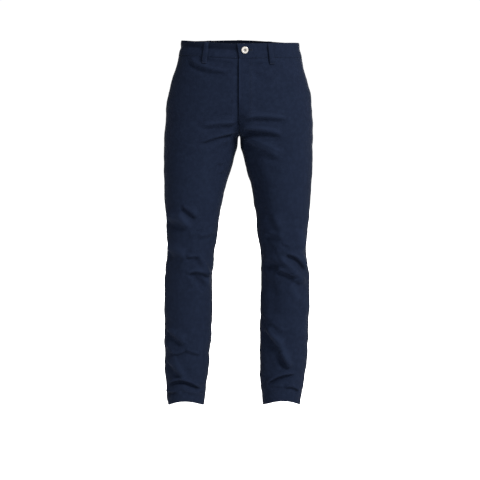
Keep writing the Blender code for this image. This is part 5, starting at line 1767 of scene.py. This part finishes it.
def plate(outline, low, high):
    """A plate with that outline at the slider's place, bevelled on its front."""
    rings = []
    for share, height in ((1.0, low), (1.0, high - SLIDER_BEVEL), (SLIDER_FRONT, high)):
        d = np.array([x * share for x, _ in outline]) + ZIP["middle"]
        middle = sum(z for _, z in outline) / len(outline)
        h = np.array([middle + (z - middle) * share for _, z in outline]) - SLIDER_DROP
        point, normal = zip_frame(d, h)
        rings.append(point + normal * height)
    k = np.arange(len(outline))
    sides = ring_quads(len(rings), len(outline))
    return np.concatenate(rings), np.concatenate(sides), np.array([k[::-1], k + 2 * len(outline)])


def make_slider(finish):
    """Slider at the top of the chain, with its pull tab hanging flat."""
    points, quads, caps, base = [], [], [], 0
    for outline, low, high in SLIDER_PLATES:
        p, q, c = plate(outline, low, high)
        points.append(p)
        quads.append(q + base)
        caps.append(c + base)
        base += len(p)
    piece = mesh_object("zip_slider_brass", np.concatenate(points),
                        [np.concatenate(quads), np.concatenate(caps)], [finish])
    piece.data.set_sharp_from_angle(angle=math.radians(SLIDER_EDGE))
    return place(piece, "zip_metal", "zip_slider")


# ---- stage
CAMERA = {"distance": 4.2, "rise": 5.3, "aim": (0.002, 0.0, -0.537), "lens": 110.5, "sensor": 36.0}
FLOOR_Z = -1.105
FLOOR_RINGS = ((1e-4, 0.0), (3.0, 0.0), (30.0, 0.0))
FLOOR_SIDES = 96
# Name, place, aim, width and power of each light.
LIGHTS = (
    ("key", (4.68, -5.20, 5.43), (0.0, 0.0, -0.45), 3.2, 2420.0),
    ("back", (1.60, 7.20, 3.60), (0.0, 0.0, -0.45), 4.0, 1100.0),
)
WORLD_STRENGTH = 1.04


def make_stage():
    floor, quads = turned(FLOOR_RINGS, FLOOR_SIDES)
    ground = mesh_object("floor", floor + np.array([0.0, 0.0, FLOOR_Z]), quads, [floor_material()])
    scene = bpy.context.scene
    world = bpy.data.worlds.new("studio")
    world.use_nodes = True
    sky = world.node_tree.nodes["Background"]
    sky.inputs["Color"].default_value = (1.0, 1.0, 1.0, 1.0)
    sky.inputs["Strength"].default_value = WORLD_STRENGTH
    scene.world = world
    for name, spot, aim, size, power in LIGHTS:
        light = bpy.data.lights.new(name, "AREA")
        light.shape = "DISK"
        light.size = size
        light.energy = power
        lamp = bpy.data.objects.new(name, light)
        lamp.location = spot
        lamp.rotation_euler = (Vector(aim) - Vector(spot)).to_track_quat("-Z", "Y").to_euler()
        scene.collection.objects.link(lamp)
    camera = bpy.data.cameras.new("camera")
    camera.sensor_width = CAMERA["sensor"]
    camera.lens = CAMERA["lens"]
    camera.clip_end = 100.0
    eye = bpy.data.objects.new("camera", camera)
    rise = math.radians(CAMERA["rise"])
    aim = Vector(CAMERA["aim"])
    eye.location = aim + Vector((0.0, -math.cos(rise), math.sin(rise))) * CAMERA["distance"]
    eye.rotation_euler = (aim - eye.location).to_track_quat("-Z", "Y").to_euler()
    scene.collection.objects.link(eye)
    scene.camera = eye
    scene.view_settings.view_transform = "Standard"


# ---- operators
class TROUSERS_OT_stage(bpy.types.Operator):
    """Make the floor, the lights and the camera"""
    bl_idname = "trousers.stage"
    bl_label = "Stage"

    def execute(self, context):
        make_stage()
        return {"FINISHED"}


class TROUSERS_OT_panels(bpy.types.Operator):
    """Make the two front and two back panels with their folds"""
    bl_idname = "trousers.panels"
    bl_label = "Leg panels"

    def execute(self, context):
        for leg in SIDES:
            for face in FACES:
                make_panel(leg, face)
        return {"FINISHED"}


class TROUSERS_OT_pockets(bpy.types.Operator):
    """Make the facings and bags behind the slanted mouths, and the back pockets' welts"""
    bl_idname = "trousers.pockets"
    bl_label = "Pockets"

    def execute(self, context):
        finish = cloth_material("pocket cloth", tuple(colours().pocketing), tuple(colours().worn),
                                sizes().twill, sheen=0.02)
        for leg in SIDES:
            make_pocket(leg, finish)
            make_welt(leg)
        return {"FINISHED"}


class TROUSERS_OT_waistband(bpy.types.Operator):
    """Make both halves of the waistband and the belt loops"""
    bl_idname = "trousers.waistband"
    bl_label = "Waistband and loops"

    def execute(self, context):
        for leg in SIDES:
            make_band(leg)
        for row in LOOPS:
            make_loop(*row)
        return {"FINISHED"}


class TROUSERS_OT_sewing(bpy.types.Operator):
    """Sew the hems, fly, pocket mouths, waistband, loops, welts and buttonhole"""
    bl_idname = "trousers.sewing"
    bl_label = "Sewing"

    def execute(self, context):
        thread = thread_material()
        sew("stitches_hems", hem_lines(), thread)
        sew("stitches_fly", fly_lines(), thread)
        sew("stitches_mouths", mouth_lines(), thread)
        sew("stitches_band", band_lines("left") + band_lines("right"), thread)
        sew("stitches_loops", loop_lines(), thread)
        sew("stitches_welts", welt_lines(), thread)
        stitched("bartacks", *all_bartacks(), thread, sizes().thread * BAR_THREAD)
        stitched("buttonhole_threads", *buttonhole_threads(), thread, HOLE_STITCH["thread"])
        return {"FINISHED"}


class TROUSERS_OT_fastenings(bpy.types.Operator):
    """Make the waist button and the zip behind the fly"""
    bl_idname = "trousers.fastenings"
    bl_label = "Button and zip"

    def execute(self, context):
        tape = cloth_material("zip tape weave", tuple(colours().tape), tuple(colours().worn), 0.0016,
                              sheen=0.015, tilt=0.0)
        brass = brass_material()
        make_button()
        button_threads(thread_material())
        make_zip_tape(tape)
        make_zip_teeth(brass)
        make_slider(brass)
        return {"FINISHED"}


class TROUSERS_PT_panel(bpy.types.Panel):
    """Settings and steps of the trousers"""
    bl_idname = "TROUSERS_PT_panel"
    bl_label = "Trousers"
    bl_space_type = "VIEW_3D"
    bl_region_type = "UI"
    bl_category = "Trousers"

    def draw(self, context):
        column = self.layout.column()
        for group in (context.scene.trousers_sizes, context.scene.trousers_colours):
            for name in group.__annotations__:
                column.prop(group, name)
            column.separator()
        for step in STEPS:
            column.operator(step.bl_idname)


STEPS = (TROUSERS_OT_stage, TROUSERS_OT_panels, TROUSERS_OT_pockets, TROUSERS_OT_waistband,
         TROUSERS_OT_sewing, TROUSERS_OT_fastenings)
CLASSES = (TrousersSizes, TrousersColours) + STEPS + (TROUSERS_PT_panel,)


def register():
    for item in CLASSES:
        bpy.utils.register_class(item)
    bpy.types.Scene.trousers_sizes = bpy.props.PointerProperty(type=TrousersSizes)
    bpy.types.Scene.trousers_colours = bpy.props.PointerProperty(type=TrousersColours)


def unregister():
    del bpy.types.Scene.trousers_colours
    del bpy.types.Scene.trousers_sizes
    for item in reversed(CLASSES):
        bpy.utils.unregister_class(item)


def main():
    register()
    bpy.ops.trousers.stage()
    bpy.ops.trousers.panels()
    bpy.ops.trousers.pockets()
    bpy.ops.trousers.waistband()
    bpy.ops.trousers.sewing()
    bpy.ops.trousers.fastenings()


if __name__ == "__main__":
    main()
